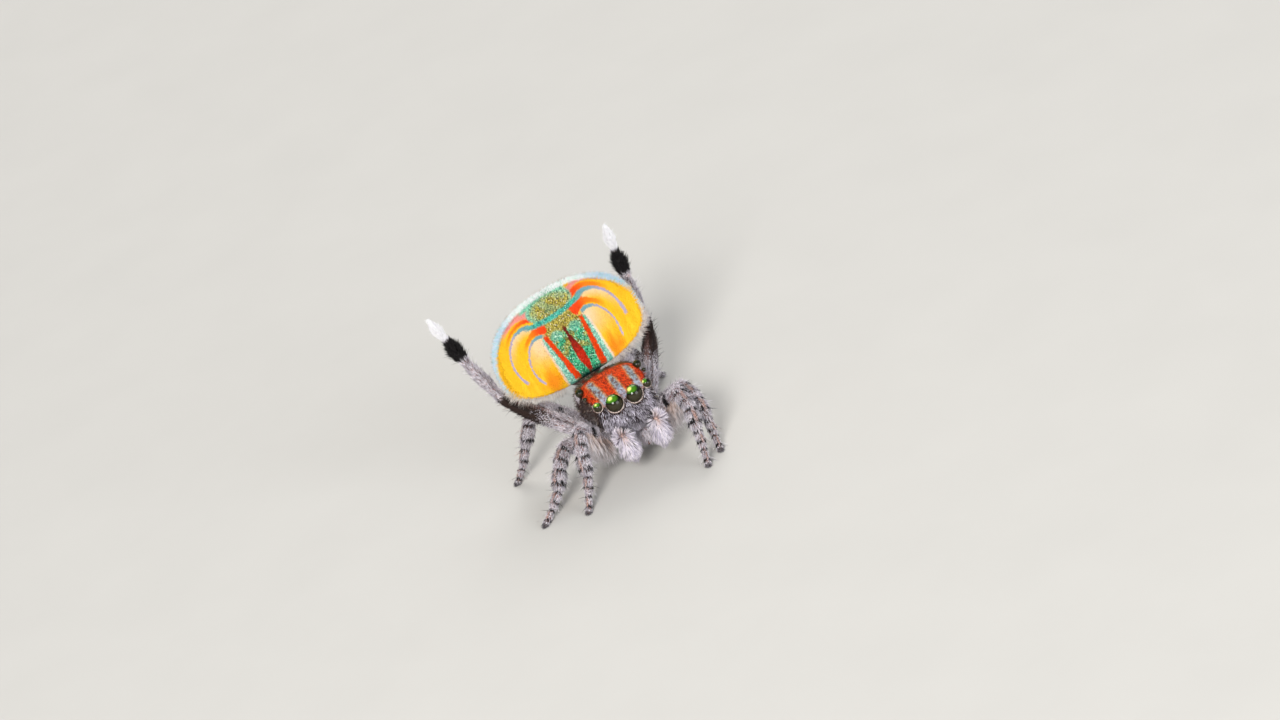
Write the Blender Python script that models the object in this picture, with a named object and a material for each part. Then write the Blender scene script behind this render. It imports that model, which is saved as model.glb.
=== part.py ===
"""Male peacock spider in its courtship display, life size.

The lengths below are in millimetres and the meshes are scaled to metres at the end. The
spider faces -Y, its own right side is at -X, +Z is up and z = 0 is the floor it stands on.
"""

import math
import random

import bmesh
import bpy
from mathutils import Matrix, Vector

MM = 0.001
GAP = 0.08
EYE_GAP = 0.045
SEED = 11
ROUND_ANGLE = 40

# Carapace: distance back from the front eyes, half width, top, bottom.
CARAPACE_STATIONS = (
    (-0.07, 0.38, 1.77, 1.08),
    (-0.03, 0.52, 1.82, 1.00),
    (0.05, 0.62, 1.85, 0.95),
    (0.18, 0.68, 1.88, 0.90),
    (0.42, 0.72, 1.92, 0.83),
    (0.72, 0.75, 1.95, 0.76),
    (1.00, 0.78, 1.94, 0.74),
    (1.28, 0.79, 1.85, 0.74),
    (1.52, 0.72, 1.69, 0.77),
    (1.74, 0.55, 1.46, 0.83),
    (1.90, 0.35, 1.26, 0.90),
    (1.97, 0.20, 1.16, 0.96),
)
CARAPACE_SQUARENESS = 3.0
CARAPACE_SIDES = 26
CARAPACE_ORIGIN = Vector((0.0, 1.0, 1.4))

# Eyes: name, sideways, back, up, radius, rings of the ball.
EYES = (
    ("eye_main", 0.232, 0.050, 1.62, 0.200, 10),
    ("eye_side", 0.585, 0.100, 1.68, 0.108, 8),
    ("eye_small", 0.715, 0.460, 1.80, 0.045, 5),
    ("eye_rear", 0.700, 0.870, 1.78, 0.095, 8),
)

STERNUM_CENTRE = Vector((0.0, 0.98, 0.54))
STERNUM_HALF = Vector((0.21, 0.56, 0.125))
STERNUM_RINGS = 10

CHELICERA_AXIS = 0.165
CHELICERA_STATIONS = (
    (0.80, 0.10, 0.09),
    (0.74, 0.12, 0.13),
    (0.62, 0.12, 0.13),
    (0.47, 0.10, 0.11),
    (0.33, 0.06, 0.07),
)
CHELICERA_BACK = 0.20
CHELICERA_RAKE = 0.25
CHELICERA_SIDES = 12

# Palps: joints on the spider's left, from the mouth to the tip of the brush.
PALP_ARM = ((0.43, 0.24, 0.72), (0.45, 0.02, 0.80), (0.44, -0.20, 0.96), (0.41, -0.33, 0.98))
PALP_ARM_RADII = (0.085, 0.10, 0.12, 0.11)
PALP_BRUSH = ((0.395, -0.39, 0.89), (0.38, -0.43, 0.79), (0.36, -0.45, 0.65), (0.34, -0.46, 0.52))
PALP_BRUSH_RADII = (0.13, 0.165, 0.14, 0.06)
PALP_SIDES = 10

# Legs: hip joint on the left, then lengths of femur, patella, tibia, metatarsus, tarsus.
HIPS = {
    1: (0.56, 0.52, 0.60),
    2: (0.64, 0.84, 0.58),
    3: (0.66, 1.14, 0.56),
    4: (0.58, 1.44, 0.58),
}
COXA_ROOT = 0.29
COXA_HEIGHT = 0.54
# Thickness of the coxa at its root, half way and at the hip.
COXA_PLAN = (0.92, 1.00, 1.08)
SEGMENTS = {
    1: (1.20, 0.45, 0.50, 0.42, 0.42),
    2: (1.13, 0.45, 0.50, 0.42, 0.42),
    3: (1.85, 0.50, 0.84, 0.68, 0.58),
    4: (1.15, 0.42, 0.56, 0.46, 0.40),
}
# Radii of the coxa, femur, patella, tibia, metatarsus and tarsus at their thickest.
RADII = {
    1: (0.115, 0.180, 0.150, 0.145, 0.095, 0.075),
    2: (0.115, 0.175, 0.150, 0.145, 0.095, 0.075),
    3: (0.115, 0.180, 0.140, 0.135, 0.115, 0.085),
    4: (0.115, 0.170, 0.145, 0.135, 0.095, 0.075),
}
# Directions of the five segments: degrees round from straight ahead, degrees up. The
# femur of a walking leg is lifted as far as puts the foot on the floor.
POSE = {
    (1, "right"): ((48, None), (31, -40), (35, -76), (42, -55), (43, -47)),
    (2, "right"): ((61, None), (51, -31), (51, -50), (59, -34), (60, -28)),
    (3, "right"): ((122, 37), (132, 51), (140, 59), (143, 64), (138, 63)),
    (4, "right"): ((124, None), (94, -18), (78, -55), (76, -58), (80, -48)),
    (1, "left"): ((33, None), (3, -28), (-14, -51), (-19, -64), (-20, -53)),
    (2, "left"): ((43, None), (14, -23), (-1, -40), (-6, -80), (-10, -38)),
    (3, "left"): ((148, 28), (158, 88), (168, 78), (176, 72), (172, 75)),
    (4, "left"): ((166, None), (150, -18), (136, -55), (134, -58), (134, -48)),
}
FOOT_HEIGHT = 0.02
FOOT_END_SHARE = 0.85
LEG_SIDES = 9
# Where the rings of each segment stand along it, and how thick it is there.
RING_PLAN = (
    ((0.12, 0.82), (0.40, 1.00), (0.70, 0.95), (0.86, 0.85)),
    ((0.36, 1.00), (0.70, 0.95)),
    ((0.26, 1.00), (0.60, 0.98), (0.84, 0.84)),
    ((0.20, 1.00), (0.80, 0.90)),
    ((0.18, 0.95), (0.60, 0.85), (0.90, 1.00)),
)
JOINT_THICKNESS = (0.80, 0.84, 0.80, 0.90)

# Fan: a raised abdomen whose upper side faces forward, with a flap on each side.
FAN_BASE = Vector((-0.215, 1.79, 1.60))
FAN_LEAN = math.radians(14)
FAN_ROLL = math.radians(4.5)
FAN_HALF_WIDTH = 1.72
FAN_MIDDLE = 0.92
FAN_ABOVE = 1.19
FAN_BELOW = 0.93
FAN_TOP_SQUARENESS = 2.35
FAN_FOOT_SQUARENESS = 2.60
FAN_CURL = 0.16
FAN_ROOT_THICKNESS = 0.34
FAN_EDGE_THICKNESS = 0.12
FAN_SPOKES = 44
FAN_RINGS = (0.20, 0.42, 0.62, 0.80, 0.93, 1.0)
FAN_RIM_SHARE = 0.5
PLATE_HALF_WIDTH = 0.50

# Abdomen behind the plate: height up the fan, half width, half depth.
ABDOMEN_STATIONS = (
    (-0.20, 0.16, 0.14),
    (-0.12, 0.32, 0.27),
    (0.12, 0.46, 0.38),
    (0.50, 0.54, 0.44),
    (0.90, 0.54, 0.45),
    (1.25, 0.45, 0.38),
    (1.52, 0.31, 0.28),
    (1.66, 0.17, 0.16),
)
ABDOMEN_BACK = 0.34
ABDOMEN_SIDES = 20
SPINNERET_LENGTH = 0.24
SPINNERET_RADIUS = 0.075
SPINNERET_SIDES = 8
# Spinnerets: degrees round the cluster, how far the tip leans back.
SPINNERET_CONES = ((90, 0.15), (210, 0.55), (330, 0.55))
SPINNERET_ROOT_SPREAD = 0.05
SPINNERET_TIP_SPREAD = 0.12
SPINNERET_SHOULDER = 0.6
SPINNERET_TAPER = 0.5

PEDICEL_RADIUS = 0.11
PEDICEL_NECK = 0.8
PEDICEL_DROP = 0.01
PEDICEL_ARCH = Vector((0.0, 0.03, -0.04))
PEDICEL_SIDES = 10

# Locks of hair: how deep the root is sunk, thickness over width, and how far a lock of
# unit length bends away from its first direction.
LOCK_SINK = 0.30
LOCK_FLATNESS = 0.42
LOCK_BEND = 0.16
LOCK_PLAN = ((-LOCK_SINK, 1.0), (0.55, 0.85), (1.0, 0.10))
# Locks in a ring: how far out the roots stand, and how much each strays from its place.
LOCK_ROOT_SHARE = 0.72
LOCK_TURN = 0.15
LOCK_SHIFT = 0.05
LOCK_VARY = 0.12
# Rings of locks on a leg: segment, share along it, locks, length, width, degrees out.
WALKING_COAT = (
    (0, 0.30, 3, 0.24, 0.15, 24),
    (0, 0.62, 4, 0.24, 0.15, 24),
    (1, 0.40, 3, 0.18, 0.12, 26),
    (2, 0.22, 4, 0.20, 0.12, 28),
    (2, 0.58, 4, 0.20, 0.12, 28),
    (3, 0.35, 3, 0.15, 0.09, 26),
    (4, 0.30, 3, 0.14, 0.08, 24),
)
RAISED_COAT = (
    (0, 0.18, 4, 0.28, 0.16, 20),
    (0, 0.40, 4, 0.28, 0.16, 20),
    (0, 0.64, 4, 0.26, 0.15, 20),
    (2, 0.18, 4, 0.26, 0.12, 20),
    (2, 0.52, 4, 0.26, 0.12, 20),
    (3, 0.12, 6, 0.22, 0.12, 42),
    (3, 0.40, 6, 0.24, 0.12, 42),
    (3, 0.68, 5, 0.20, 0.11, 36),
    (4, 0.18, 5, 0.18, 0.08, 24),
    (4, 0.56, 4, 0.20, 0.08, 22),
)
# A fringe hangs under the femora of the front legs.
FRINGE_SHARES = (0.22, 0.36, 0.50, 0.64)
FRINGE_LENGTH = 0.34
FRINGE_WIDTH = 0.17
FRINGE_LEAN = 0.35
FRINGE_ROOT_SHARE = 0.7
PALP_COAT = (
    (0, 0.30, 6, 0.26, 0.14, 30),
    (1, 0.30, 7, 0.26, 0.14, 32),
    (2, 0.20, 6, 0.26, 0.13, 30),
    (2, 0.80, 4, 0.22, 0.10, 22),
)
PALP_ARM_COAT = (
    (0, 0.70, 3, 0.18, 0.11, 26),
    (1, 0.50, 4, 0.18, 0.11, 28),
)
# Fringe of a flap: locks, degrees round the outline of the first and of the whole row.
FLAP_FRINGE = 9
FLAP_FRINGE_START = -76
FLAP_FRINGE_SWEEP = 72
FLAP_FRINGE_LENGTH = 0.20
FLAP_FRINGE_GROWTH = 0.35
FLAP_FRINGE_WIDTH = 0.15
FLAP_FRINGE_ROOT = 0.97
# Where a lock points: share and addition sideways, share downward.
FLAP_FRINGE_OUT = 1.06
FLAP_FRINGE_ASIDE = 0.06
FLAP_FRINGE_DROP = 1.25
# Hair of the face under the eyes: sideways, back, up on the left half.
FACE_LOCKS = (
    (0.00, -0.06, 1.26),
    (0.16, -0.06, 1.22),
    (0.32, -0.05, 1.24),
    (0.46, 0.00, 1.30),
    (0.10, -0.05, 1.12),
    (0.26, -0.05, 1.10),
    (0.42, 0.00, 1.12),
    (0.54, 0.08, 1.18),
)
FACE_LOCK_LENGTH = 0.24
FACE_LOCK_WIDTH = 0.15
FACE_LOCK_SINK = 0.03
# Way of a face lock: share of its sideways place, forward, down.
FACE_LOCK_WAY = (0.35, -0.42, -0.90)

FINISHES = {
    "carapace_scales": ((0.62, 0.10, 0.03), 0.45),
    "cuticle": ((0.10, 0.06, 0.045), 0.40),
    "grey_hair": ((0.46, 0.42, 0.44), 0.75),
    "brush_black": ((0.02, 0.02, 0.022), 0.70),
    "brush_white": ((0.80, 0.77, 0.78), 0.75),
    "fan_green": ((0.10, 0.42, 0.26), 0.40),
    "fan_gold": ((0.90, 0.52, 0.03), 0.50),
    "eye_lens": ((0.03, 0.05, 0.015), 0.08),
}


def clear_scene():
    """Remove whatever the file opened with."""
    for thing in list(bpy.data.objects):
        bpy.data.objects.remove(thing, do_unlink=True)


def make_finish(name):
    """Return the named Principled material, made once."""
    material = bpy.data.materials.get(name)
    if material is None:
        colour, roughness = FINISHES[name]
        material = bpy.data.materials.new(name)
        material.use_nodes = True
        shader = material.node_tree.nodes["Principled BSDF"]
        shader.inputs["Base Color"].default_value = (*colour, 1.0)
        shader.inputs["Roughness"].default_value = roughness
        shader.inputs["Metallic"].default_value = 0.0
    return material


def new_object(name, bm):
    """Turn a bmesh into an object, its faces pointing out."""
    bmesh.ops.recalc_face_normals(bm, faces=bm.faces)
    mesh = bpy.data.meshes.new(name)
    bm.to_mesh(mesh)
    bm.free()
    thing = bpy.data.objects.new(name, mesh)
    bpy.context.scene.collection.objects.link(thing)
    return thing


def loft(rings):
    """Close a stack of equal rings of points into a body with flat ends."""
    bm = bmesh.new()
    rows = [[bm.verts.new(point) for point in ring] for ring in rings]
    count = len(rows[0])
    for lower, upper in zip(rows, rows[1:]):
        for i in range(count):
            j = (i + 1) % count
            bm.faces.new((lower[i], lower[j], upper[j], upper[i]))
    bm.faces.new(rows[0])
    bm.faces.new(reversed(rows[-1]))
    return bm


def turns(count):
    """Return the angles of a number of even steps round a circle."""
    return [2 * math.pi * k / count for k in range(count)]


def squarish(angle, power):
    """Return the point of a unit superellipse at an angle."""
    c, s = math.cos(angle), math.sin(angle)
    return (
        math.copysign(abs(c) ** (2 / power), c),
        math.copysign(abs(s) ** (2 / power), s),
    )


def tube_rings(points, radii, sides, across):
    """Return round rings square to a path, turned to keep the same side across."""
    rings = []
    last = len(points) - 1
    for i, (point, radius) in enumerate(zip(points, radii)):
        before = points[max(i - 1, 0)]
        after = points[min(i + 1, last)]
        if 0 < i < last:
            tangent = (point - before).normalized() + (after - point).normalized()
        else:
            tangent = after - before
        tangent.normalize()
        side = (across - tangent * across.dot(tangent)).normalized()
        up = side.cross(tangent)
        rings.append(
            [
                point
                + side * (radius * math.cos(angle))
                + up * (radius * math.sin(angle))
                for angle in turns(sides)
            ]
        )
    return rings


def lock(root, along, out, length, width):
    """Return a flat tapered lock that starts in its root's surface and bends outward."""
    along = along.normalized()
    side = along.cross(out).normalized()
    out = side.cross(along)
    rings = []
    for at, share in LOCK_PLAN:
        centre = root + along * (length * at) + out * (LOCK_BEND * length * max(at, 0.0) ** 2)
        half = width * share / 2
        ridge = centre + out * (LOCK_FLATNESS * 2 * half)
        rings.append([centre - side * half, centre + side * half, ridge])
    return new_object("lock", loft(rings))


def lock_ring(points, radii, coat, across, seed):
    """Return the rings of locks along a jointed limb."""
    draw = random.Random(seed)
    locks = []
    for segment, at, count, length, width, lean in coat:
        start, end = points[segment], points[segment + 1]
        forward = (end - start).normalized()
        side = (across - forward * across.dot(forward)).normalized()
        up = side.cross(forward)
        lean = math.radians(lean)
        phase = draw.random()
        for k in range(count):
            angle = 2 * math.pi * (k + phase + draw.uniform(-LOCK_TURN, LOCK_TURN)) / count
            out = side * math.cos(angle) + up * math.sin(angle)
            root = start.lerp(end, at + draw.uniform(-LOCK_SHIFT, LOCK_SHIFT))
            root += out * (radii[segment] * LOCK_ROOT_SHARE)
            along = forward * math.cos(lean) + out * math.sin(lean)
            vary = draw.uniform(1 - LOCK_VARY, 1 + LOCK_VARY)
            locks.append(lock(root, along, out, length * vary, width))
    return locks


def ball(centre, radius, rings):
    """Return a UV ball."""
    bm = bmesh.new()
    bmesh.ops.create_uvsphere(
        bm,
        u_segments=rings * 3 // 2,
        v_segments=rings,
        radius=radius,
        matrix=Matrix.Translation(centre),
    )
    return bm


def largest_shell(bm):
    """Keep only the closed surface that holds the most faces."""
    left = set(bm.faces)
    shells = []
    while left:
        stack = [left.pop()]
        shell = set(stack)
        while stack:
            for edge in stack.pop().edges:
                for face in edge.link_faces:
                    if face in left:
                        left.discard(face)
                        shell.add(face)
                        stack.append(face)
        shells.append(shell)
    largest = max(shells, key=len)
    spare = [face for face in bm.faces if face not in largest]
    bmesh.ops.delete(bm, geom=spare, context="FACES")


def boolean(core, pieces, operation):
    """Join or cut one object with a collection of others, which are then removed."""
    group = bpy.data.collections.new("pieces")
    for piece in pieces:
        group.objects.link(piece)
    modifier = core.modifiers.new("join", "BOOLEAN")
    modifier.operand_type = "COLLECTION"
    modifier.collection = group
    modifier.operation = operation
    modifier.solver = "EXACT"
    seen = core.evaluated_get(bpy.context.evaluated_depsgraph_get())
    bm = bmesh.new()
    bm.from_mesh(seen.to_mesh())
    seen.to_mesh_clear()
    largest_shell(bm)
    core.modifiers.remove(modifier)
    bm.to_mesh(core.data)
    bm.free()
    for piece in pieces:
        bpy.data.objects.remove(piece, do_unlink=True)
    bpy.data.collections.remove(group)


def cut_flat(thing, point, normal):
    """Cut away what lies past a plane and close the cut."""
    bm = bmesh.new()
    bm.from_mesh(thing.data)
    cut = bmesh.ops.bisect_plane(
        bm,
        geom=bm.verts[:] + bm.edges[:] + bm.faces[:],
        plane_co=point,
        plane_no=normal,
        clear_outer=True,
    )
    rim = [item for item in cut["geom_cut"] if isinstance(item, bmesh.types.BMEdge)]
    bmesh.ops.holes_fill(bm, edges=rim)
    bmesh.ops.recalc_face_normals(bm, faces=bm.faces)
    bm.to_mesh(thing.data)
    bm.free()


def mirrored(point, side):
    """Return a point given for the left side on the side asked for."""
    x, y, z = point
    return Vector((x if side == "left" else -x, y, z))


def finish(thing, finish_name, root):
    """Give a piece its material, smooth shading and an origin at its root."""
    mesh = thing.data
    mesh.transform(Matrix.Translation(-root))
    thing.location = root
    mesh.materials.clear()
    mesh.materials.append(make_finish(finish_name))
    mesh.shade_smooth()
    mesh.set_sharp_from_angle(angle=math.radians(ROUND_ANGLE))
    return thing


def make_eyes():
    """Make the eight eye balls, which sit in sockets of the carapace."""
    eyes = []
    for name, x, y, z, radius, rings in EYES:
        for side in ("left", "right"):
            centre = mirrored((x, y, z), side)
            eye = new_object(f"{name}_{side}", ball(centre, radius, rings))
            eyes.append(finish(eye, "eye_lens", centre))
    return eyes


def make_face_locks():
    """Return the locks that hang over the face below the eyes."""
    locks = []
    spread, forward, down = FACE_LOCK_WAY
    ahead = Vector((0.0, -1.0, 0.0))
    for x, y, z in FACE_LOCKS:
        for side in ("left", "right") if x else ("left",):
            root = mirrored((x, y + FACE_LOCK_SINK, z), side)
            along = mirrored((x * spread, forward, down), side)
            locks.append(lock(root, along, ahead, FACE_LOCK_LENGTH, FACE_LOCK_WIDTH))
    return locks


def make_carapace():
    """Make the head and thorax shield, with a socket for each eye."""
    rings = []
    for y, half_width, top, bottom in CARAPACE_STATIONS:
        middle, half_height = (top + bottom) / 2, (top - bottom) / 2
        ring = []
        for angle in turns(CARAPACE_SIDES):
            c, s = squarish(angle, CARAPACE_SQUARENESS)
            ring.append(Vector((half_width * c, y, middle + half_height * s)))
        rings.append(ring)
    carapace = new_object("carapace", loft(rings))
    sockets = [
        new_object("socket", ball(mirrored((x, y, z), side), radius + EYE_GAP, rows))
        for _, x, y, z, radius, rows in EYES
        for side in ("left", "right")
    ]
    boolean(carapace, sockets, "DIFFERENCE")
    boolean(carapace, make_face_locks(), "UNION")
    return finish(carapace, "carapace_scales", CARAPACE_ORIGIN)


def make_sternum():
    """Make the plate between the leg bases."""
    bm = ball(Vector(), 1.0, STERNUM_RINGS)
    bmesh.ops.scale(bm, vec=STERNUM_HALF, verts=bm.verts)
    bmesh.ops.translate(bm, vec=STERNUM_CENTRE, verts=bm.verts)
    return finish(new_object("sternum", bm), "cuticle", STERNUM_CENTRE)


def make_chelicera(side):
    """Make one jaw, hanging under the front of the carapace."""
    rings = []
    top = CHELICERA_STATIONS[0][0]
    for z, half_width, half_depth in CHELICERA_STATIONS:
        centre = mirrored((CHELICERA_AXIS, CHELICERA_BACK - CHELICERA_RAKE * (top - z), z), side)
        rings.append(
            [
                centre + Vector((half_width * math.cos(a), half_depth * math.sin(a), 0.0))
                for a in turns(CHELICERA_SIDES)
            ]
        )
    return finish(new_object(f"chelicera_{side}", loft(rings)), "grey_hair", centre)


def make_palp(side):
    """Make one palp: the arm from the mouth, and the brush that ends it."""
    across = Vector((1.0, 0.0, 0.0))
    pieces = []
    for name, path, radii, coat, look in (
        ("arm", PALP_ARM, PALP_ARM_RADII, PALP_ARM_COAT, "grey_hair"),
        ("brush", PALP_BRUSH, PALP_BRUSH_RADII, PALP_COAT, "brush_white"),
    ):
        points = [mirrored(point, side) for point in path]
        piece = new_object(f"palp_{name}_{side}", loft(tube_rings(points, radii, PALP_SIDES, across)))
        thin = [min(pair) for pair in zip(radii, radii[1:])]
        boolean(piece, lock_ring(points, thin, coat, across, SEED), "UNION")
        pieces.append(finish(piece, look, points[0]))
    return pieces


def leg_joints(leg, side):
    """Return the hip, knee, and further joints of one leg, down to the foot."""
    lengths = SEGMENTS[leg]
    angles = list(POSE[leg, side])
    hip = mirrored(HIPS[leg], side)
    if angles[0][1] is None:
        rest = sum(
            length * math.sin(math.radians(lift))
            for length, (_, lift) in zip(lengths[1:], angles[1:])
        )
        rise = FOOT_HEIGHT - hip.z - rest
        angles[0] = (angles[0][0], math.degrees(math.asin(rise / lengths[0])))
    joints = [hip]
    for length, (swing, lift) in zip(lengths, angles):
        swing, lift = math.radians(swing), math.radians(lift)
        step = mirrored(
            (
                math.cos(lift) * math.sin(swing),
                -math.cos(lift) * math.cos(swing),
                math.sin(lift),
            ),
            side,
        )
        joints.append(joints[-1] + step * length)
    return joints


def leg_stations(leg, side):
    """Return the rings' centres and radii of a leg, and where its nodes part.

    The list runs from the coxa to the tip of the tarsus. A joint holds one station, and
    the two joints at which the leg is parted are given by their places in the list.
    """
    joints = leg_joints(leg, side)
    coxa, *radii = RADII[leg]
    root = mirrored((COXA_ROOT, HIPS[leg][1], COXA_HEIGHT), side)
    hip = joints[0]
    places = (root, root.lerp(hip, 0.5), hip)
    stations = [(place, coxa * share) for place, share in zip(places, COXA_PLAN)]
    parts = []
    for segment, (radius, plan) in enumerate(zip(radii, RING_PLAN)):
        start, end = joints[segment], joints[segment + 1]
        stations += [(start.lerp(end, at), radius * share) for at, share in plan]
        if segment < len(JOINT_THICKNESS):
            thin = min(radius, radii[segment + 1]) * JOINT_THICKNESS[segment]
            if segment in (0, 2):
                parts.append(len(stations))
            stations.append((end, thin))
        else:
            stations.append((end, radius * FOOT_END_SHARE))
    return stations, parts


def make_fringe(joints, radius, across):
    """Return the locks that hang under a front femur."""
    hip, knee = joints[0], joints[1]
    down = Vector((0.0, 0.0, -1.0))
    along = down + (knee - hip).normalized() * FRINGE_LEAN
    roots = [hip.lerp(knee, at) + down * (radius * FRINGE_ROOT_SHARE) for at in FRINGE_SHARES]
    return [lock(root, along, across, FRINGE_LENGTH, FRINGE_WIDTH) for root in roots]


def make_leg(leg, side):
    """Make one leg in three nodes, parted at the knee and below the tibia."""
    stations, parts = leg_stations(leg, side)
    points = [point for point, _ in stations]
    radii = [radius for _, radius in stations]
    across = (points[-1] - points[0]).cross(Vector((0.0, 0.0, 1.0))).normalized()
    rings = tube_rings(points, radii, LEG_SIDES, across)
    joints = leg_joints(leg, side)
    coat = RAISED_COAT if leg == 3 else WALKING_COAT
    pieces = []
    start = 0
    for name, segments, end in zip(
        ("femur", "tibia", "foot"), ((0,), (1, 2), (3, 4)), (*parts, len(rings) - 1)
    ):
        piece_rings = rings[start : end + 1]
        if start:
            forward = (points[start + 1] - points[start - 1]).normalized()
            piece_rings[0] = [point + forward * GAP / 2 for point in piece_rings[0]]
        if end < len(rings) - 1:
            forward = (points[end + 1] - points[end - 1]).normalized()
            piece_rings[-1] = [point - forward * GAP / 2 for point in piece_rings[-1]]
        piece = new_object(f"leg{leg}_{side}_{name}", loft(piece_rings))
        rows = [row for row in coat if row[0] in segments]
        locks = lock_ring(joints, RADII[leg][1:], rows, across, SEED + leg)
        if leg == 1 and name == "femur":
            locks += make_fringe(joints, RADII[leg][1], across)
        boolean(piece, locks, "UNION")
        if name == "foot" and leg != 3:
            cut_flat(piece, Vector(), Vector((0.0, 0.0, -1.0)))
        look = "brush_black" if name == "foot" and leg == 3 else "grey_hair"
        pieces.append(finish(piece, look, points[start]))
        start = end
    return pieces


def fan_frame():
    """Return the fan's sideways, upward and forward directions."""
    turn = Matrix.Rotation(-FAN_ROLL, 3, "Y") @ Matrix.Rotation(-FAN_LEAN, 3, "X")
    return turn @ Vector((1, 0, 0)), turn @ Vector((0, 0, 1)), turn @ Vector((0, -1, 0))


def fan_point(across, up, forward):
    """Return a point given in the fan's own directions."""
    side_way, up_way, front_way = fan_frame()
    return FAN_BASE + side_way * across + up_way * up + front_way * forward


def fan_edge(angle):
    """Return the fan's outline at an angle from its middle."""
    above = math.sin(angle) >= 0
    c, s = squarish(angle, FAN_TOP_SQUARENESS if above else FAN_FOOT_SQUARENESS)
    return FAN_HALF_WIDTH * c, s * (FAN_ABOVE if above else FAN_BELOW)


def make_fan_sheet():
    """Make the plate and both flaps as one sheet, thick in the middle."""
    fronts, backs = [], []
    for share in FAN_RINGS:
        front, back = [], []
        for k in range(FAN_SPOKES):
            x, z = fan_edge(2 * math.pi * (k + 0.5) / FAN_SPOKES)
            x, z = x * share, z * share
            curl = FAN_CURL * (x / FAN_HALF_WIDTH) ** 2
            thick = FAN_ROOT_THICKNESS + (FAN_EDGE_THICKNESS - FAN_ROOT_THICKNESS) * share**1.5
            if share == 1.0:
                thick *= FAN_RIM_SHARE
            front.append(fan_point(x, FAN_MIDDLE + z, curl + thick / 2))
            back.append(fan_point(x, FAN_MIDDLE + z, curl - thick / 2))
        fronts.append(front)
        backs.append(back)
    return new_object("sheet", loft(list(fronts) + list(reversed(backs))))


def copy_of(thing, name):
    """Return a copy with a mesh of its own."""
    twin = bpy.data.objects.new(name, thing.data.copy())
    bpy.context.scene.collection.objects.link(twin)
    return twin


def make_flap_fringe(side):
    """Return the hair along the lower edge of one flap."""
    locks = []
    sign = 1 if side == "left" else -1
    for k in range(FLAP_FRINGE):
        angle = math.radians(FLAP_FRINGE_START + FLAP_FRINGE_SWEEP * k / (FLAP_FRINGE - 1))
        x, z = fan_edge(angle)
        curl = FAN_CURL * (x / FAN_HALF_WIDTH) ** 2
        root = fan_point(sign * x * FLAP_FRINGE_ROOT, FAN_MIDDLE + z * FLAP_FRINGE_ROOT, curl)
        aside = sign * (x * FLAP_FRINGE_OUT + FLAP_FRINGE_ASIDE)
        tip = fan_point(aside, FAN_MIDDLE + z * FLAP_FRINGE_DROP, curl)
        length = FLAP_FRINGE_LENGTH * (1.0 + FLAP_FRINGE_GROWTH * k / FLAP_FRINGE)
        locks.append(lock(root, tip - root, fan_frame()[2], length, FLAP_FRINGE_WIDTH))
    return locks


def make_fan():
    """Make the abdomen with its plate, and the two flaps beside it."""
    side_way, _, _ = fan_frame()
    sheet = make_fan_sheet()
    flaps = []
    for side, way in (("left", side_way), ("right", -side_way)):
        flap = copy_of(sheet, f"fan_flap_{side}")
        root = fan_point(0, FAN_MIDDLE, 0) + way * (PLATE_HALF_WIDTH + GAP)
        cut_flat(flap, root, -way)
        boolean(flap, make_flap_fringe(side), "UNION")
        flaps.append(finish(flap, "fan_gold", root))
    for way in (side_way, -side_way):
        cut_flat(sheet, fan_point(0, FAN_MIDDLE, 0) + way * PLATE_HALF_WIDTH, way)
    rings = []
    for up, half_width, half_depth in ABDOMEN_STATIONS:
        rings.append(
            [
                fan_point(half_width * math.cos(a), up, -ABDOMEN_BACK + half_depth * math.sin(a))
                for a in turns(ABDOMEN_SIDES)
            ]
        )
    abdomen = new_object("abdomen", loft(rings))
    boolean(abdomen, [sheet], "UNION")
    return [finish(abdomen, "fan_green", fan_point(0, 0, 0)), *flaps]


def make_spinnerets():
    """Make the cluster of spinnerets at the raised end of the abdomen."""
    base = fan_point(0, ABDOMEN_STATIONS[-1][0] + GAP, -ABDOMEN_BACK)
    across = fan_frame()[0]
    cones = []
    for turn, lean in SPINNERET_CONES:
        aside = math.cos(math.radians(turn))
        root = base + across * (SPINNERET_ROOT_SPREAD * aside)
        tip = fan_point(
            SPINNERET_TIP_SPREAD * aside,
            ABDOMEN_STATIONS[-1][0] + GAP + SPINNERET_LENGTH,
            -ABDOMEN_BACK - SPINNERET_TIP_SPREAD * lean,
        )
        middle = root.lerp(tip, SPINNERET_SHOULDER)
        radii = [SPINNERET_RADIUS, SPINNERET_RADIUS, SPINNERET_RADIUS * SPINNERET_TAPER]
        rings = tube_rings([root, middle, tip], radii, SPINNERET_SIDES, across)
        cones.append(new_object("cone", loft(rings)))
    cluster = cones[0]
    cluster.name = "spinnerets"
    boolean(cluster, cones[1:], "UNION")
    return finish(cluster, "grey_hair", base)


def make_pedicel():
    """Make the short stalk between the thorax and the abdomen."""
    y, _, top, bottom = CARAPACE_STATIONS[-1]
    start = Vector((0.0, y + GAP, (top + bottom) / 2 - PEDICEL_DROP))
    end = fan_point(0.0, ABDOMEN_STATIONS[0][0] - GAP, -ABDOMEN_BACK)
    middle = start.lerp(end, 0.5) + PEDICEL_ARCH
    radii = [PEDICEL_RADIUS * PEDICEL_NECK, PEDICEL_RADIUS, PEDICEL_RADIUS]
    rings = tube_rings([start, middle, end], radii, PEDICEL_SIDES, Vector((1.0, 0.0, 0.0)))
    return finish(new_object("pedicel", loft(rings)), "cuticle", start)


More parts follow.
